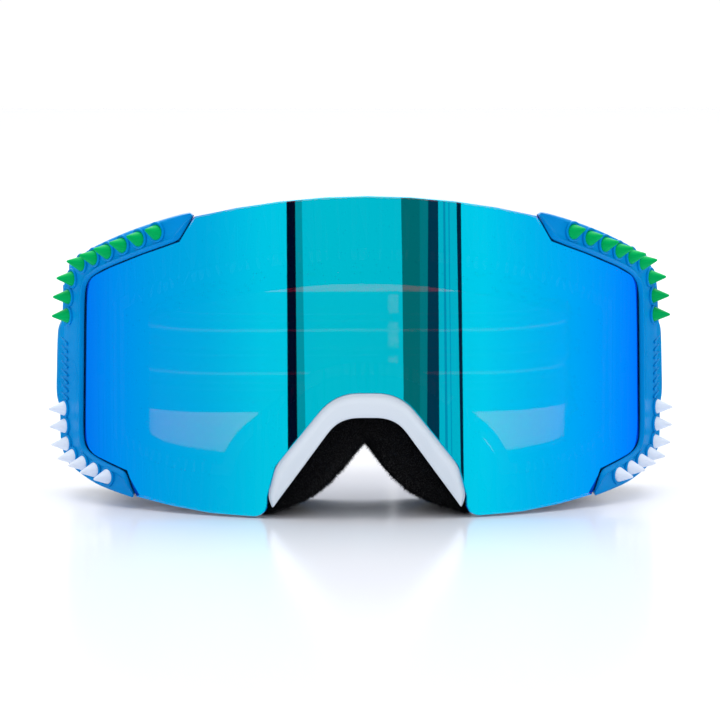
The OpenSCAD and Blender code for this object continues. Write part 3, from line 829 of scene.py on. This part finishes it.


# Each foam's second colour is the painted shade in its pits.
dense_foam = foamed("dense_foam", paint(30, 31, 34), paint(12, 12, 14), 0.5, 0.12, 0.05)
soft_foam = foamed("soft_foam", paint(40, 41, 45), paint(12, 13, 15), 0.8, 0.3, 0.1)
fleece = foamed("brushed_fleece", paint(16, 17, 21), paint(6, 6, 9), 0.35, 0.25, 0.06)
for name, material, slot, fill in (("foam_base", dense_foam, "foam_dense", 0.9),
                                   ("foam_mid", soft_foam, "foam_soft", 0.6),
                                   ("fleece_liner", fleece, "fleece", 0.5)):
    front, rear = foam_layers[name]
    half = [foam_ring(outer, inner, front, rear) for outer, inner in foam_stations]
    cage = lofted(name + "_pad", half + other_side(half[1:-1]), closed=True)
    layer = piece_of(name + "_pad", cage, material, "frame", slot, name)
    subdivided(layer, 2)
    settled(layer)
    if name != "foam_base":
        swollen(layer, front, rear, pressure=2.0, cap=0.5)
    if name == "fleece_liner":
        tufted(layer.data, 1.6, 0.16)
    layer.data.shade_smooth()

# ---- Nose foam ------------------------------------------------------------------------------
# The same fleece-covered foam fills the arch under the frame's bridge, from the face up to the
# rim. It is glued to the dense layer behind it and to the frame above it.

nose_front = 93.5               # the radius its front keeps to, just behind the rim
nose_rear = foam_layers["foam_base"][0] - 0.2
# From one foot to the top of the arch: the lower edge at the front, the upper edge, and the lower
# edge at the rear.
nose_stations = [
    ((30.0, 0.5), (29.2, 3.2), (29.5, 0.2)), ((27.0, 1.7), (27.4, 7.5), (26.0, 0.5)),
    ((23.0, 3.3), (26.0, 12.2), (21.5, 1.0)), ((19.0, 5.0), (22.5, 16.5), (17.0, 2.4)),
    ((15.0, 8.0), (18.8, 20.8), (13.0, 4.3)), ((11.0, 12.6), (15.0, 24.8), (9.0, 7.6)),
    ((7.0, 17.2), (11.0, 27.8), (5.5, 11.8)), ((3.4, 21.2), (6.0, 29.4), (2.9, 15.6)),
    ((1.2, 22.9), (3.0, 29.6), (1.2, 18.4)), ((0.0, 23.6), (0.0, 29.6), (0.0, 20.2)),
]


def nose_ring(low, high, rear):
    """The section at a station: rounded at the front, and square where it meets the dense layer."""
    def at(point, radius, part=1.0):
        return on_lens(low[0] + (point[0] - low[0]) * part, low[1] + (point[1] - low[1]) * part, radius)
    back_high = on_face(*high, nose_rear)
    back_low = on_face(*rear, nose_rear)
    middle = [(a + b) / 2 for a, b in zip(at(low, nose_front - 2), back_low)]
    return [at(high, nose_front, 0.15), at(high, nose_front + 0.4, 0.5), at(high, nose_front, 0.85),
            at(high, nose_front - 2), back_high, back_low, (middle[0], middle[1], max(middle[2] - 0.5, 0.05)),
            at(low, nose_front - 1.5)]


nose_half = [nose_ring(*station) for station in nose_stations]
nose_cage = lofted("foam_base_nose", nose_half + other_side(nose_half[:-1]), [(4, 0.8), (5, 0.8)])
nose_foam = piece_of("foam_base_nose", nose_cage, fleece, "frame", "foam_dense")
subdivided(nose_foam, 3)
settled(nose_foam)
tufted(nose_foam.data, 1.4, 0.65)
nose_foam.data.shade_smooth()

# ---- Fleece nap -----------------------------------------------------------------------------
# The brushed polyester fibres that stand up from the fleece and give its edges their fuzz. They
# are longest round the nose, where the foam is cut and bent.

random.seed(7)
fibre_radius = 0.09
fibre_root = 0.1                # how deep each one stands in the fleece


def nap_over(name, base, tufts, shortest, longest):
    """A three-sided fibre on every face of a mesh, tufts times, each with its own lean and length."""
    points, faces = [], []
    for face in base.polygons:
        for tuft in range(tufts):
            a, b, c = (base.vertices[face.vertices[k]].co for k in (0, 1 + tuft % 2, 2 + tuft % 2))
            u, v = random.random(), random.random()
            if u + v > 1:
                u, v = 1 - u, 1 - v
            foot = a + (b - a) * u + (c - a) * v
            lean = Vector([random.uniform(-1, 1) for axis in range(3)])
            along = (face.normal + lean * 0.9).normalized()
            tip = foot + along * random.uniform(shortest, longest) * MM
            if tip.z < 0:
                continue
            across = along.orthogonal().normalized() * fibre_radius * MM
            around = along.cross(across) * 0.87
            foot -= along * fibre_root * MM
            first = len(points)
            points += [foot + across, foot - across / 2 + around, foot - across / 2 - around, tip]
            faces += [(first, first + 1, first + 3), (first + 1, first + 2, first + 3),
                      (first + 2, first, first + 3), (first + 2, first + 1, first)]
    mesh = bpy.data.meshes.new(name)
    mesh.from_pydata(points, [], faces)
    piece_of(name, mesh, fleece, "frame", "fleece")
    mesh.shade_flat()


nap_over("fleece_nap", bpy.data.objects["fleece_liner_pad"].data, 3, 0.3, 0.9)
nap_over("nose_nap", nose_foam.data, 3, 0.7, 1.7)

# ---- Frame ----------------------------------------------------------------------------------
# A soft white TPU moulding: flanges in front and behind with a wall between them, vents along the
# top and below, and filter foam behind the vents. The shape is the frame's own.


def rounded_copy(name, width, material, body, slot, *stands_for):
    """A copy of CAD nodes with its flat faces whole and its edges rounded, which stands for them."""
    build = bmesh.new()
    for node in stands_for:
        build.from_mesh(nodes_of[node].data)
    bmesh.ops.remove_doubles(build, verts=build.verts, dist=0.002 * MM)
    bmesh.ops.dissolve_limit(build, angle_limit=math.radians(0.6), verts=build.verts, edges=build.edges)
    mesh = bpy.data.meshes.new(name)
    build.to_mesh(mesh)
    build.free()
    piece = piece_of(name, mesh, material, body, slot, *stands_for)
    edge_rounded(piece, width)
    return piece


def finished(node, material):
    """A CAD node that keeps its shape and gets a better material."""
    piece = nodes_of[node]
    for place in range(max(1, len(piece.material_slots))):
        if place < len(piece.material_slots):
            piece.material_slots[place].material = material
        else:
            piece.data.materials.append(material)


white_plastic = moulded("white_frame_moulding", paint(206, 212, 222), paint(198, 205, 216), 0.45, 0.8, 0.3)
finished("main_frame", white_plastic)
# Its second colour is the painted shade in the foam's pits.
vent_filter = foamed("vent_filter_foam", paint(70, 72, 78), paint(22, 23, 26), 0.9, 0.35, 0.05)
for node in ("top_vent_foam", "bottom_vent_foam_left", "bottom_vent_foam_right"):
    finished(node, vent_filter)

# ---- Magnets, screws and pins ---------------------------------------------------------------
# Disc magnets, nickel-plated in the frame and black in the lens carrier, black screws that hold
# the side frames from the inside, and ground steel hinge pins.


def metallic(name, colour, shade, roughness, scratches):
    """Plated or ground metal: a cloudy tarnish and fine turned scratches."""
    material = bpy.data.materials.new(name)
    material.use_nodes = True
    nodes, links = material.node_tree.nodes, material.node_tree.links
    nodes.clear()
    place = nodes.new("ShaderNodeTexCoord")
    place.label = "Place on the metal"
    cloud = nodes.new("ShaderNodeTexNoise")
    cloud.label = "Tarnish"
    cloud.inputs["Scale"].default_value = 300
    plating = nodes.new("ShaderNodeValToRGB")
    plating.label = "Plating"
    plating.color_ramp.elements[0].color = shade
    plating.color_ramp.elements[1].color = colour
    stretch = nodes.new("ShaderNodeMapping")
    stretch.label = "Drawn out along Z"
    stretch.inputs["Scale"].default_value = (1, 1, 0.04)
    lines = nodes.new("ShaderNodeTexNoise")
    lines.label = "Grinding lines"
    lines.inputs["Scale"].default_value = 6000
    relief = nodes.new("ShaderNodeBump")
    relief.label = "Depth of the lines"
    relief.inputs["Strength"].default_value = scratches
    relief.inputs["Distance"].default_value = 0.00002
    surface = nodes.new("ShaderNodeBsdfPrincipled")
    surface.label = name.replace("_", " ")
    surface.inputs["Metallic"].default_value = 1
    surface.inputs["Roughness"].default_value = roughness
    output = nodes.new("ShaderNodeOutputMaterial")
    links.new(place.outputs["Object"], cloud.inputs["Vector"])
    links.new(cloud.outputs["Fac"], plating.inputs["Fac"])
    links.new(place.outputs["Object"], stretch.inputs["Vector"])
    links.new(stretch.outputs["Vector"], lines.inputs["Vector"])
    links.new(lines.outputs["Fac"], relief.inputs["Height"])
    links.new(plating.outputs["Color"], surface.inputs["Base Color"])
    links.new(relief.outputs["Normal"], surface.inputs["Normal"])
    links.new(surface.outputs["BSDF"], output.inputs["Surface"])
    for row, (label, group) in enumerate((("Colour", (place, cloud, plating)),
                                          ("Lines", (stretch, lines, relief)),
                                          ("Metal", (surface, output)))):
        box = nodes.new("NodeFrame")
        box.label = label
        for column, node in enumerate(group):
            node.parent = box
            node.location = (column * 240 + row * 240, -row * 400)
    return material


finished("frame_magnets", metallic("nickel_plate", paint(226, 224, 220), paint(190, 188, 186), 0.18, 0.1))
finished("lens_magnets", metallic("black_nickel", paint(30, 34, 40), paint(20, 24, 30), 0.5, 0.1))
finished("side_frame_screws", metallic("black_oxide", paint(64, 64, 68), paint(36, 36, 40), 0.38, 0.3))
ground_steel = metallic("ground_steel", paint(206, 207, 210), paint(176, 178, 182), 0.28, 0.6)
for side in ("left", "right"):
    rounded_copy("hinge_pin_steel_" + side, 0.25, ground_steel, "frame", "steel", "hinge_pin_" + side)

# ---- Lens carrier, gasket and inner lens ----------------------------------------------------
# A dark moulded ring is bonded behind the mirror lens and holds its magnets. A foam gasket keeps
# an amber inner lens at a distance from it, so that the still air between them stops fog.

carrier_plastic = moulded("carrier_moulding", paint(16, 24, 32), paint(11, 18, 25), 0.6, 0.8, 0.06)
finished("lens_carrier", carrier_plastic)
# Its second colour is the painted shade in the foam's pits.
gasket_foam = foamed("gasket_foam", paint(44, 45, 49), paint(16, 16, 18), 0.3, 0.08, 0.03)
finished("lens_gasket", gasket_foam)


def lens_tint():
    """Clear amber sheet: it lets light through, darker and warmer, and glints a little."""
    material = bpy.data.materials.new("amber_tint")
    material.use_nodes = True
    nodes, links = material.node_tree.nodes, material.node_tree.links
    nodes.clear()
    place = nodes.new("ShaderNodeTexCoord")
    place.label = "Place on the sheet"
    haze = nodes.new("ShaderNodeTexNoise")
    haze.label = "Anti-fog coat"
    haze.inputs["Scale"].default_value = 30
    tint = nodes.new("ShaderNodeValToRGB")
    tint.label = "Amber, slightly uneven"
    tint.color_ramp.elements[0].color = (0.72, 0.5, 0.34, 1)
    tint.color_ramp.elements[1].color = (0.78, 0.56, 0.4, 1)
    through = nodes.new("ShaderNodeBsdfTransparent")
    through.label = "Light that passes"
    glint = nodes.new("ShaderNodeBsdfGlossy")
    glint.label = "Glint of the surface"
    glint.inputs["Roughness"].default_value = 0.05
    edge = nodes.new("ShaderNodeFresnel")
    edge.label = "More glint at a slant"
    edge.inputs["IOR"].default_value = 1.4
    both = nodes.new("ShaderNodeMixShader")
    both.label = "Passed and glinting"
    output = nodes.new("ShaderNodeOutputMaterial")
    links.new(place.outputs["Object"], haze.inputs["Vector"])
    links.new(haze.outputs["Fac"], tint.inputs["Fac"])
    links.new(tint.outputs["Color"], through.inputs["Color"])
    links.new(edge.outputs["Fac"], both.inputs["Fac"])
    links.new(through.outputs["BSDF"], both.inputs[1])
    links.new(glint.outputs["BSDF"], both.inputs[2])
    links.new(both.outputs["Shader"], output.inputs["Surface"])
    for row, (label, group) in enumerate((("Tint", (place, haze, tint, through)),
                                          ("Gloss", (edge, glint, both, output)))):
        box = nodes.new("NodeFrame")
        box.label = label
        for column, node in enumerate(group):
            node.parent = box
            node.location = (column * 240 + row * 240, -row * 400)
    return material


finished("inner_lens", lens_tint())

# ---- Hinge knuckles and side ribs -----------------------------------------------------------
# Two knuckles stand behind each side frame and hold the pin, one above the arm and one below it.
# Slanted ribs on the raised panel give the side frame a grip.

hinge_x, hinge_y = 89.2, -19.5
knuckle_low = (24.5, 56.8)
knuckle_height = 6.7
barrel_radius = 3.2
pin_radius = 1.5


def plate(name, outlines, thickness, edge):
    """Closed outlines (x, y) as a flat plate about z = 0, the inner ones cut through, with round edges."""
    curve = bpy.data.curves.new(name, "CURVE")
    curve.dimensions = "2D"
    curve.fill_mode = "BOTH"
    curve.extrude = (thickness / 2 - edge) * MM
    curve.bevel_depth = edge * MM
    curve.bevel_resolution = 1
    curve.offset = -edge * MM
    for outline in outlines:
        line = curve.splines.new("POLY")
        line.points.add(len(outline) - 1)
        for point, (x, y) in zip(line.points, outline):
            point.co = (x * MM, y * MM, 0, 1)
        line.use_cyclic_u = True
    blank = bpy.data.objects.new(name, curve)
    bpy.context.scene.collection.objects.link(blank)
    mesh = bpy.data.meshes.new_from_object(blank.evaluated_get(bpy.context.evaluated_depsgraph_get()))
    mesh.name = name
    bpy.data.objects.remove(blank)
    bpy.data.curves.remove(curve)
    build = bmesh.new()
    build.from_mesh(mesh)
    bmesh.ops.remove_doubles(build, verts=build.verts, dist=1e-6)
    bmesh.ops.recalc_face_normals(build, faces=build.faces)
    build.to_mesh(mesh)
    build.free()
    return mesh


def round_hole(x, y, radius, steps=32):
    return [(x + radius * math.cos(math.tau * i / steps), y + radius * math.sin(math.tau * i / steps))
            for i in range(steps)]


knuckle_outline = [(hinge_x + barrel_radius * math.cos(math.radians(a)),
                    hinge_y + barrel_radius * math.sin(math.radians(a))) for a in range(0, 181, 10)]
knuckle_outline += [(hinge_x - barrel_radius, side_back - 2), (hinge_x + barrel_radius - 1.2, side_back - 2),
                    (hinge_x + barrel_radius - 0.4, side_back + 0.6)]
knuckle = plate("knuckle", [knuckle_outline, round_hole(hinge_x, hinge_y, pin_radius)], knuckle_height, 0.4)
knuckles = gathered("knuckles", [(knuckle, Matrix.Translation((0, 0, (low + knuckle_height / 2) * MM)))
                                 for low in knuckle_low])
rib = rounded([(-2.4, -0.45, 0.4), (2.4, -0.45, 0.4), (2.4, 0.45, 0.4), (-2.4, 0.45, 0.4)], steps=3)
rib_count, rib_pitch = 8, 2.4
first_rib = Vector((90.75, -44.45, 31))
# Stood up, turned to lie along the panel's slope, and slanted on it.
rib_turn = (Matrix.Rotation(math.radians(63), 4, "Z") @ Matrix.Rotation(math.radians(90), 4, "X")
            @ Matrix.Rotation(math.radians(20), 4, "Z"))
rib_places = [Matrix.Translation((first_rib + Vector((0, 0, rib_pitch * i))) * MM) @ rib_turn
              for i in range(rib_count)]
ribs = gathered("ribs", [(plate("rib", [rib], 0.7, 0.25), place) for place in rib_places])
for side in ("left", "right"):
    piece_of("side_frame_knuckles_" + side, for_side(knuckles, side), blue_plastic, "frame", "side_blue",
             "side_frame_" + side)
    piece_of("side_frame_ribs_" + side, for_side(ribs, side), blue_plastic, "frame", "side_blue",
             "side_frame_" + side)

# ---- Strap arms -----------------------------------------------------------------------------
# Blue moulded arms that swing on the hinge pins, so that the strap clears a helmet. Each has a
# barrel round the pin, three lightening holes, and a slot with a bar that the strap goes round.

for side in ("left", "right"):
    rounded_copy("outrigger_arm_moulding_" + side, 0.45, blue_plastic, "strap_arm_" + side, "side_blue",
                 "outrigger_arm_" + side)

# ---- Strap ----------------------------------------------------------------------------------
# Woven elastic webbing, 42 mm wide: a loop round each arm's bar with its end doubled back inside,
# and a rear band that hangs down a little. A green, a blue and two thin pale stripes are woven in.

strap_width, strap_thickness = 42, 1.8
strap_z = 43
strap_sag = 11.6
strap_toe = math.radians(5)
toe = Vector((-math.sin(strap_toe), math.cos(strap_toe)))
run_start, run_end, tail_end = 14, 56, 53
bar_x, bar_y = 89.5, 5.5
strap_x = bar_x + 0.9
loop_radius = 1.8 + 0.2 + strap_thickness / 2
inner_offset = strap_thickness + 0.1
strap_rear_y = cad_box[1].y / MM - strap_thickness / 2


def on_run(y, offset=0.0):
    """A point on the strap's straight run, or as far inside it as offset says."""
    return Vector((strap_x, run_start)) + toe * (y - run_start) / toe.y - Vector((toe.y, -toe.x)) * offset


def spanned(start, end, count):
    return [start + (end - start) * i / count for i in range(count)]


def bezier(a, b, c, d, t):
    return (1 - t) ** 3 * a + 3 * t * (1 - t) ** 2 * b + 3 * t * t * (1 - t) * c + t ** 3 * d


def hang(y):
    part = min(max((y - run_end) / (strap_rear_y - run_end), 0), 1)
    return strap_z - strap_sag * part * part * (3 - 2 * part)


def ribbon(name, path, width, thickness, edges=0.35, middle=0.0, start_length=0.0):
    """Upright webbing along a path (x, y), with rounded selvedges and a UV map in metres."""
    half, t = width / 2, thickness / 2
    selvedge = 2.2
    section = [(-t * 0.55, half), (-t, half - edges), (-t, half - selvedge)]
    section += [(-t, half * k / 6) for k in range(4, -5, -2)]
    section += [(-t, selvedge - half), (-t, edges - half), (-t * 0.55, -half)]
    section += [(-offset, z) for offset, z in reversed(section)]
    rings, along = [], [start_length]
    for i, point in enumerate(path):
        ahead = (path[min(i + 1, len(path) - 1)] - path[max(i - 1, 0)]).normalized()
        across = Vector((ahead.y, -ahead.x))
        if i:
            along.append(along[-1] + (point - path[i - 1]).length)
        rings.append([(*(point + across * offset), hang(point.y) + middle + z) for offset, z in section])
    soft_edges = [(k, 0.3) for k in (0, len(section) // 2 - 1, len(section) // 2, len(section) - 1)]
    mesh = lofted(name, rings, soft_edges, end_crease=1)
    weave = mesh.uv_layers.new(name="weave")
    sides = len(section)
    for corner in mesh.loops:
        ring, place = divmod(corner.vertex_index, sides)
        weave.data[corner.index].uv = (along[ring] * MM, (section[place][1] + middle) * MM)
    return mesh


pick_pitch, end_pitch = 0.0011, 0.0009      # from rib to rib, in metres
waves_per_metre = math.tau / 20             # the Wave Texture's scale for one wave in a metre


def webbing():
    """Elastic webbing: ribs across it, fine ribs along it, woven stripes, painted shade between the yarns and
    painted light on their crowns, and a soft sheen.
    """
    material = bpy.data.materials.new("strap_webbing")
    material.use_nodes = True
    nodes, links = material.node_tree.nodes, material.node_tree.links
    nodes.clear()
    place = nodes.new("ShaderNodeUVMap")
    place.label = "Along and across the strap"
    place.uv_map = "weave"
    split = nodes.new("ShaderNodeSeparateXYZ")
    split.label = "Across only"
    width = nodes.new("ShaderNodeMapRange")
    width.label = "Edge to edge"
    width.inputs["From Min"].default_value = -strap_width / 2 * MM
    width.inputs["From Max"].default_value = strap_width / 2 * MM
    stripes = nodes.new("ShaderNodeValToRGB")
    stripes.label = "Woven stripes"
    stripes.color_ramp.interpolation = "CONSTANT"
    navy, blue = paint(24, 40, 56), paint(0, 128, 200)
    green, pale = paint(0, 176, 96), paint(206, 216, 226)
    bands = [(0.0, navy), (0.12, blue), (0.27, navy), (0.31, pale), (0.335, navy), (0.665, pale),
             (0.69, navy), (0.73, green), (0.88, navy)]
    for position, colour in bands[1:-1]:
        stripes.color_ramp.elements.new(position)
    for element, (position, colour) in zip(stripes.color_ramp.elements, bands):
        element.position = position
        element.color = colour
    picks = nodes.new("ShaderNodeTexWave")
    picks.label = "Picks across the strap"
    picks.wave_type = "BANDS"
    picks.bands_direction = "X"
    picks.inputs["Scale"].default_value = waves_per_metre / pick_pitch
    picks.inputs["Distortion"].default_value = 0.6
    picks.inputs["Detail Scale"].default_value = 3
    ends = nodes.new("ShaderNodeTexWave")
    ends.label = "Ends along the strap"
    ends.wave_type = "BANDS"
    ends.bands_direction = "Y"
    ends.inputs["Scale"].default_value = waves_per_metre / end_pitch
    ends.inputs["Distortion"].default_value = 0.5
    crossing = nodes.new("ShaderNodeMath")
    crossing.label = "Picks over ends"
    crossing.operation = "MULTIPLY"
    # Painted shade and light: the yarn's colour is scaled down to 0.55 between the yarns and up to 1.15 on
    # their crowns.
    painted_weave_shade = nodes.new("ShaderNodeMapRange")
    painted_weave_shade.label = "Painted shade between the yarns, lighter crowns"
    painted_weave_shade.inputs["To Min"].default_value = 0.55
    painted_weave_shade.inputs["To Max"].default_value = 1.15
    yarn = nodes.new("ShaderNodeVectorMath")
    yarn.label = "Yarn's colour with painted shade"
    yarn.operation = "SCALE"
    relief = nodes.new("ShaderNodeBump")
    relief.label = "Depth of the weave"
    relief.inputs["Strength"].default_value = 0.9
    relief.inputs["Distance"].default_value = 0.00018
    surface = nodes.new("ShaderNodeBsdfPrincipled")
    surface.label = "Polyester yarn"
    surface.inputs["Roughness"].default_value = 0.8
    surface.inputs["Specular IOR Level"].default_value = 0.2
    surface.inputs["Sheen Weight"].default_value = 0.25
    surface.inputs["Sheen Roughness"].default_value = 0.4
    output = nodes.new("ShaderNodeOutputMaterial")
    links.new(place.outputs["UV"], split.inputs["Vector"])
    links.new(split.outputs["Y"], width.inputs["Value"])
    links.new(width.outputs["Result"], stripes.inputs["Fac"])
    links.new(place.outputs["UV"], picks.inputs["Vector"])
    links.new(place.outputs["UV"], ends.inputs["Vector"])
    links.new(picks.outputs["Fac"], crossing.inputs[0])
    links.new(ends.outputs["Fac"], crossing.inputs[1])
    links.new(crossing.outputs["Value"], painted_weave_shade.inputs["Value"])
    links.new(stripes.outputs["Color"], yarn.inputs[0])
    links.new(painted_weave_shade.outputs["Result"], yarn.inputs["Scale"])
    links.new(yarn.outputs["Vector"], surface.inputs["Base Color"])
    links.new(crossing.outputs["Value"], relief.inputs["Height"])
    links.new(relief.outputs["Normal"], surface.inputs["Normal"])
    links.new(surface.outputs["BSDF"], output.inputs["Surface"])
    for row, (label, group) in enumerate((("Stripes", (place, split, width, stripes)),
                                          ("Weave", (picks, ends, crossing, relief)),
                                          ("Yarn", (painted_weave_shade, yarn, surface, output)))):
        box = nodes.new("NodeFrame")
        box.label = label
        for column, node in enumerate(group):
            node.parent = box
            node.location = (column * 240 + row * 240, -row * 400)
    return material


strap_cloth = webbing()
bar_centre = Vector((bar_x, bar_y))
loop_path = spanned(on_run(run_end), on_run(run_start), 14)
loop_path += [bar_centre + loop_radius * Vector((math.cos(math.radians(a)), math.sin(math.radians(a))))
              for a in range(0, -181, -20)]
loop_path += spanned(on_run(run_start, inner_offset), on_run(tail_end, inner_offset), 12)
loop_path.append(on_run(tail_end, inner_offset))
loop_mesh = ribbon("strap_loop", loop_path, strap_width, strap_thickness)
corner_start = on_run(run_end + 0.15)
rear_steps = 28
rear_path = [bezier(corner_start, corner_start + toe * 33, Vector((47, strap_rear_y)),
                    Vector((0, strap_rear_y)), i / rear_steps) for i in range(rear_steps + 1)]
rear_mesh = ribbon("strap_rear_half", rear_path, strap_width, strap_thickness, start_length=60)


def bends_with_arm(piece):
    """Bakes the piece's place into its mesh, where it stays still."""
    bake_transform(piece)


for side in ("left", "right"):
    loop = piece_of("strap_loop_webbing_" + side, for_side(loop_mesh, side), strap_cloth, "strap_arm_" + side,
                    "strap_webbing", "strap_loop_" + side)
    subdivided(loop, 1)
    rear = piece_of("strap_rear_webbing_" + side, for_side(rear_mesh, side), strap_cloth, None,
                    "strap_webbing", "strap_rear")
    subdivided(rear, 1)
    settled(rear)
    rear.data.shade_smooth()
    rear.data.set_sharp_from_angle(angle=math.radians(50))
    bends_with_arm(rear)

# ---- Stitching and tag ----------------------------------------------------------------------
# Pale thread sews the loops to the rear band in zigzag rows, and holds the loops' doubled ends.
# A blank white care tag is sewn to the inside of the rear band.

thread_radius = 0.16
stitch_rise = 0.24              # how high a stitch arches, and how deep its ends stand in the webbing
stitch_sunk = 0.1
stitch_reach, stitch_pitch = 0.8, 1.3       # half of a zigzag's width, and from tip to tip
row_pitch = 2.2


def stitch(start, end, out):
    """One stitch between two points on the webbing: a low arch of thread with six sides."""
    rings = []
    for place, height in enumerate((0, 0.6, 1, 0.6, 0)):
        middle = start.lerp(end, place / 4) + out * (height * stitch_rise - stitch_sunk)
        along = (end - start).normalized()
        side = along.cross(out)
        rings.append([middle + (side * math.cos(a) + out * math.sin(a)) * thread_radius
                      for a in (math.tau * k / 6 for k in range(6))])
    return rings


def zigzag(y, offset, rows, inside=1):
    """Rows of zigzag stitches across the straight run at y, on the face that offset gives."""
    out = Vector((toe.y, -toe.x, 0)) * inside
    first_z = strap_z + strap_width / 2 - 1.5
    meshes = []
    for row in range(rows):
        flat = on_run(y + row * row_pitch, offset)
        tips = [Vector((*(flat + toe * stitch_reach * (-1) ** k), first_z - k * stitch_pitch))
                for k in range(31)]
        meshes += [lofted("stitch", stitch(a, b, out)) for a, b in zip(tips, tips[1:])]
    return meshes


seam_y = run_end - 3.6
sewn = zigzag(seam_y, -strap_thickness / 2, 2) + zigzag(seam_y, inner_offset + strap_thickness / 2, 2, -1)
seams = gathered("seams", [(mesh, Matrix.Identity(4)) for mesh in sewn])
thread = moulded("pale_thread", paint(196, 204, 212), paint(172, 182, 192), 0.7, 0.9, 0.15)
for side in ("left", "right"):
    piece_of("strap_stitches_" + side, for_side(seams, side), thread, "strap_arm_" + side, "strap_webbing")

tag_outline = rounded([(-3.4, -19, 0.5), (3.4, -19, 0.5), (3.4, 19, 0.5), (-3.4, 19, 0.5)], steps=3)
tag_centre = Vector((17, strap_rear_y - strap_thickness / 2 - 0.3, hang(strap_rear_y) + 1))
tag_cloth = moulded("white_tag_cloth", paint(220, 224, 230), paint(206, 211, 220), 0.8, 0.9, 0.1)
tag = plate("tag", [tag_outline], 0.5, 0.15)
tag.transform(Matrix.Translation(tag_centre * MM) @ Matrix.Rotation(math.radians(90), 4, "X"))
piece_of("care_tag", tag, tag_cloth, "frame", "strap_webbing")

# ---- Grip lines -----------------------------------------------------------------------------
# Three lines of dark grey silicone are printed inside the rear band, so that it holds on a helmet.
# They stop short of the loops.

grip_width, grip_thickness = 3, 0.4
silicone = moulded("grey_silicone", paint(58, 66, 74), paint(46, 54, 62), 0.3, 0.3, 0.3)
grip_path = []
for i in range(6, rear_steps + 1):
    ahead = (rear_path[min(i + 1, rear_steps)] - rear_path[i - 1]).normalized()
    grip_path.append(rear_path[i] + Vector((-ahead.y, ahead.x)) * (strap_thickness + grip_thickness) / 2)
for side in ("left", "right"):
    for place, middle in (("low", -12), ("middle", 0), ("high", 12)):
        mesh = ribbon("grip_" + place, grip_path, grip_width, grip_thickness, 0.1, middle)
        line = piece_of("strap_grip_" + place + "_" + side, for_side(mesh, side), silicone, None,
                        "grip_silicone", "strap_grip")
        bends_with_arm(line)

# ---- Sliders --------------------------------------------------------------------------------
# Black moulded sleeves round both layers of the strap, one on each side. They hold the webbing by
# friction, and sliding one along takes up the strap.

black_plastic = moulded("black_moulding", paint(34, 36, 40), paint(26, 28, 31), 0.36, 0.9, 0.4)
for side in ("left", "right"):
    rounded_copy("strap_slider_moulding_" + side, 0.4, black_plastic, "slider_" + side, "slider_black",
                 "strap_slider_" + side)
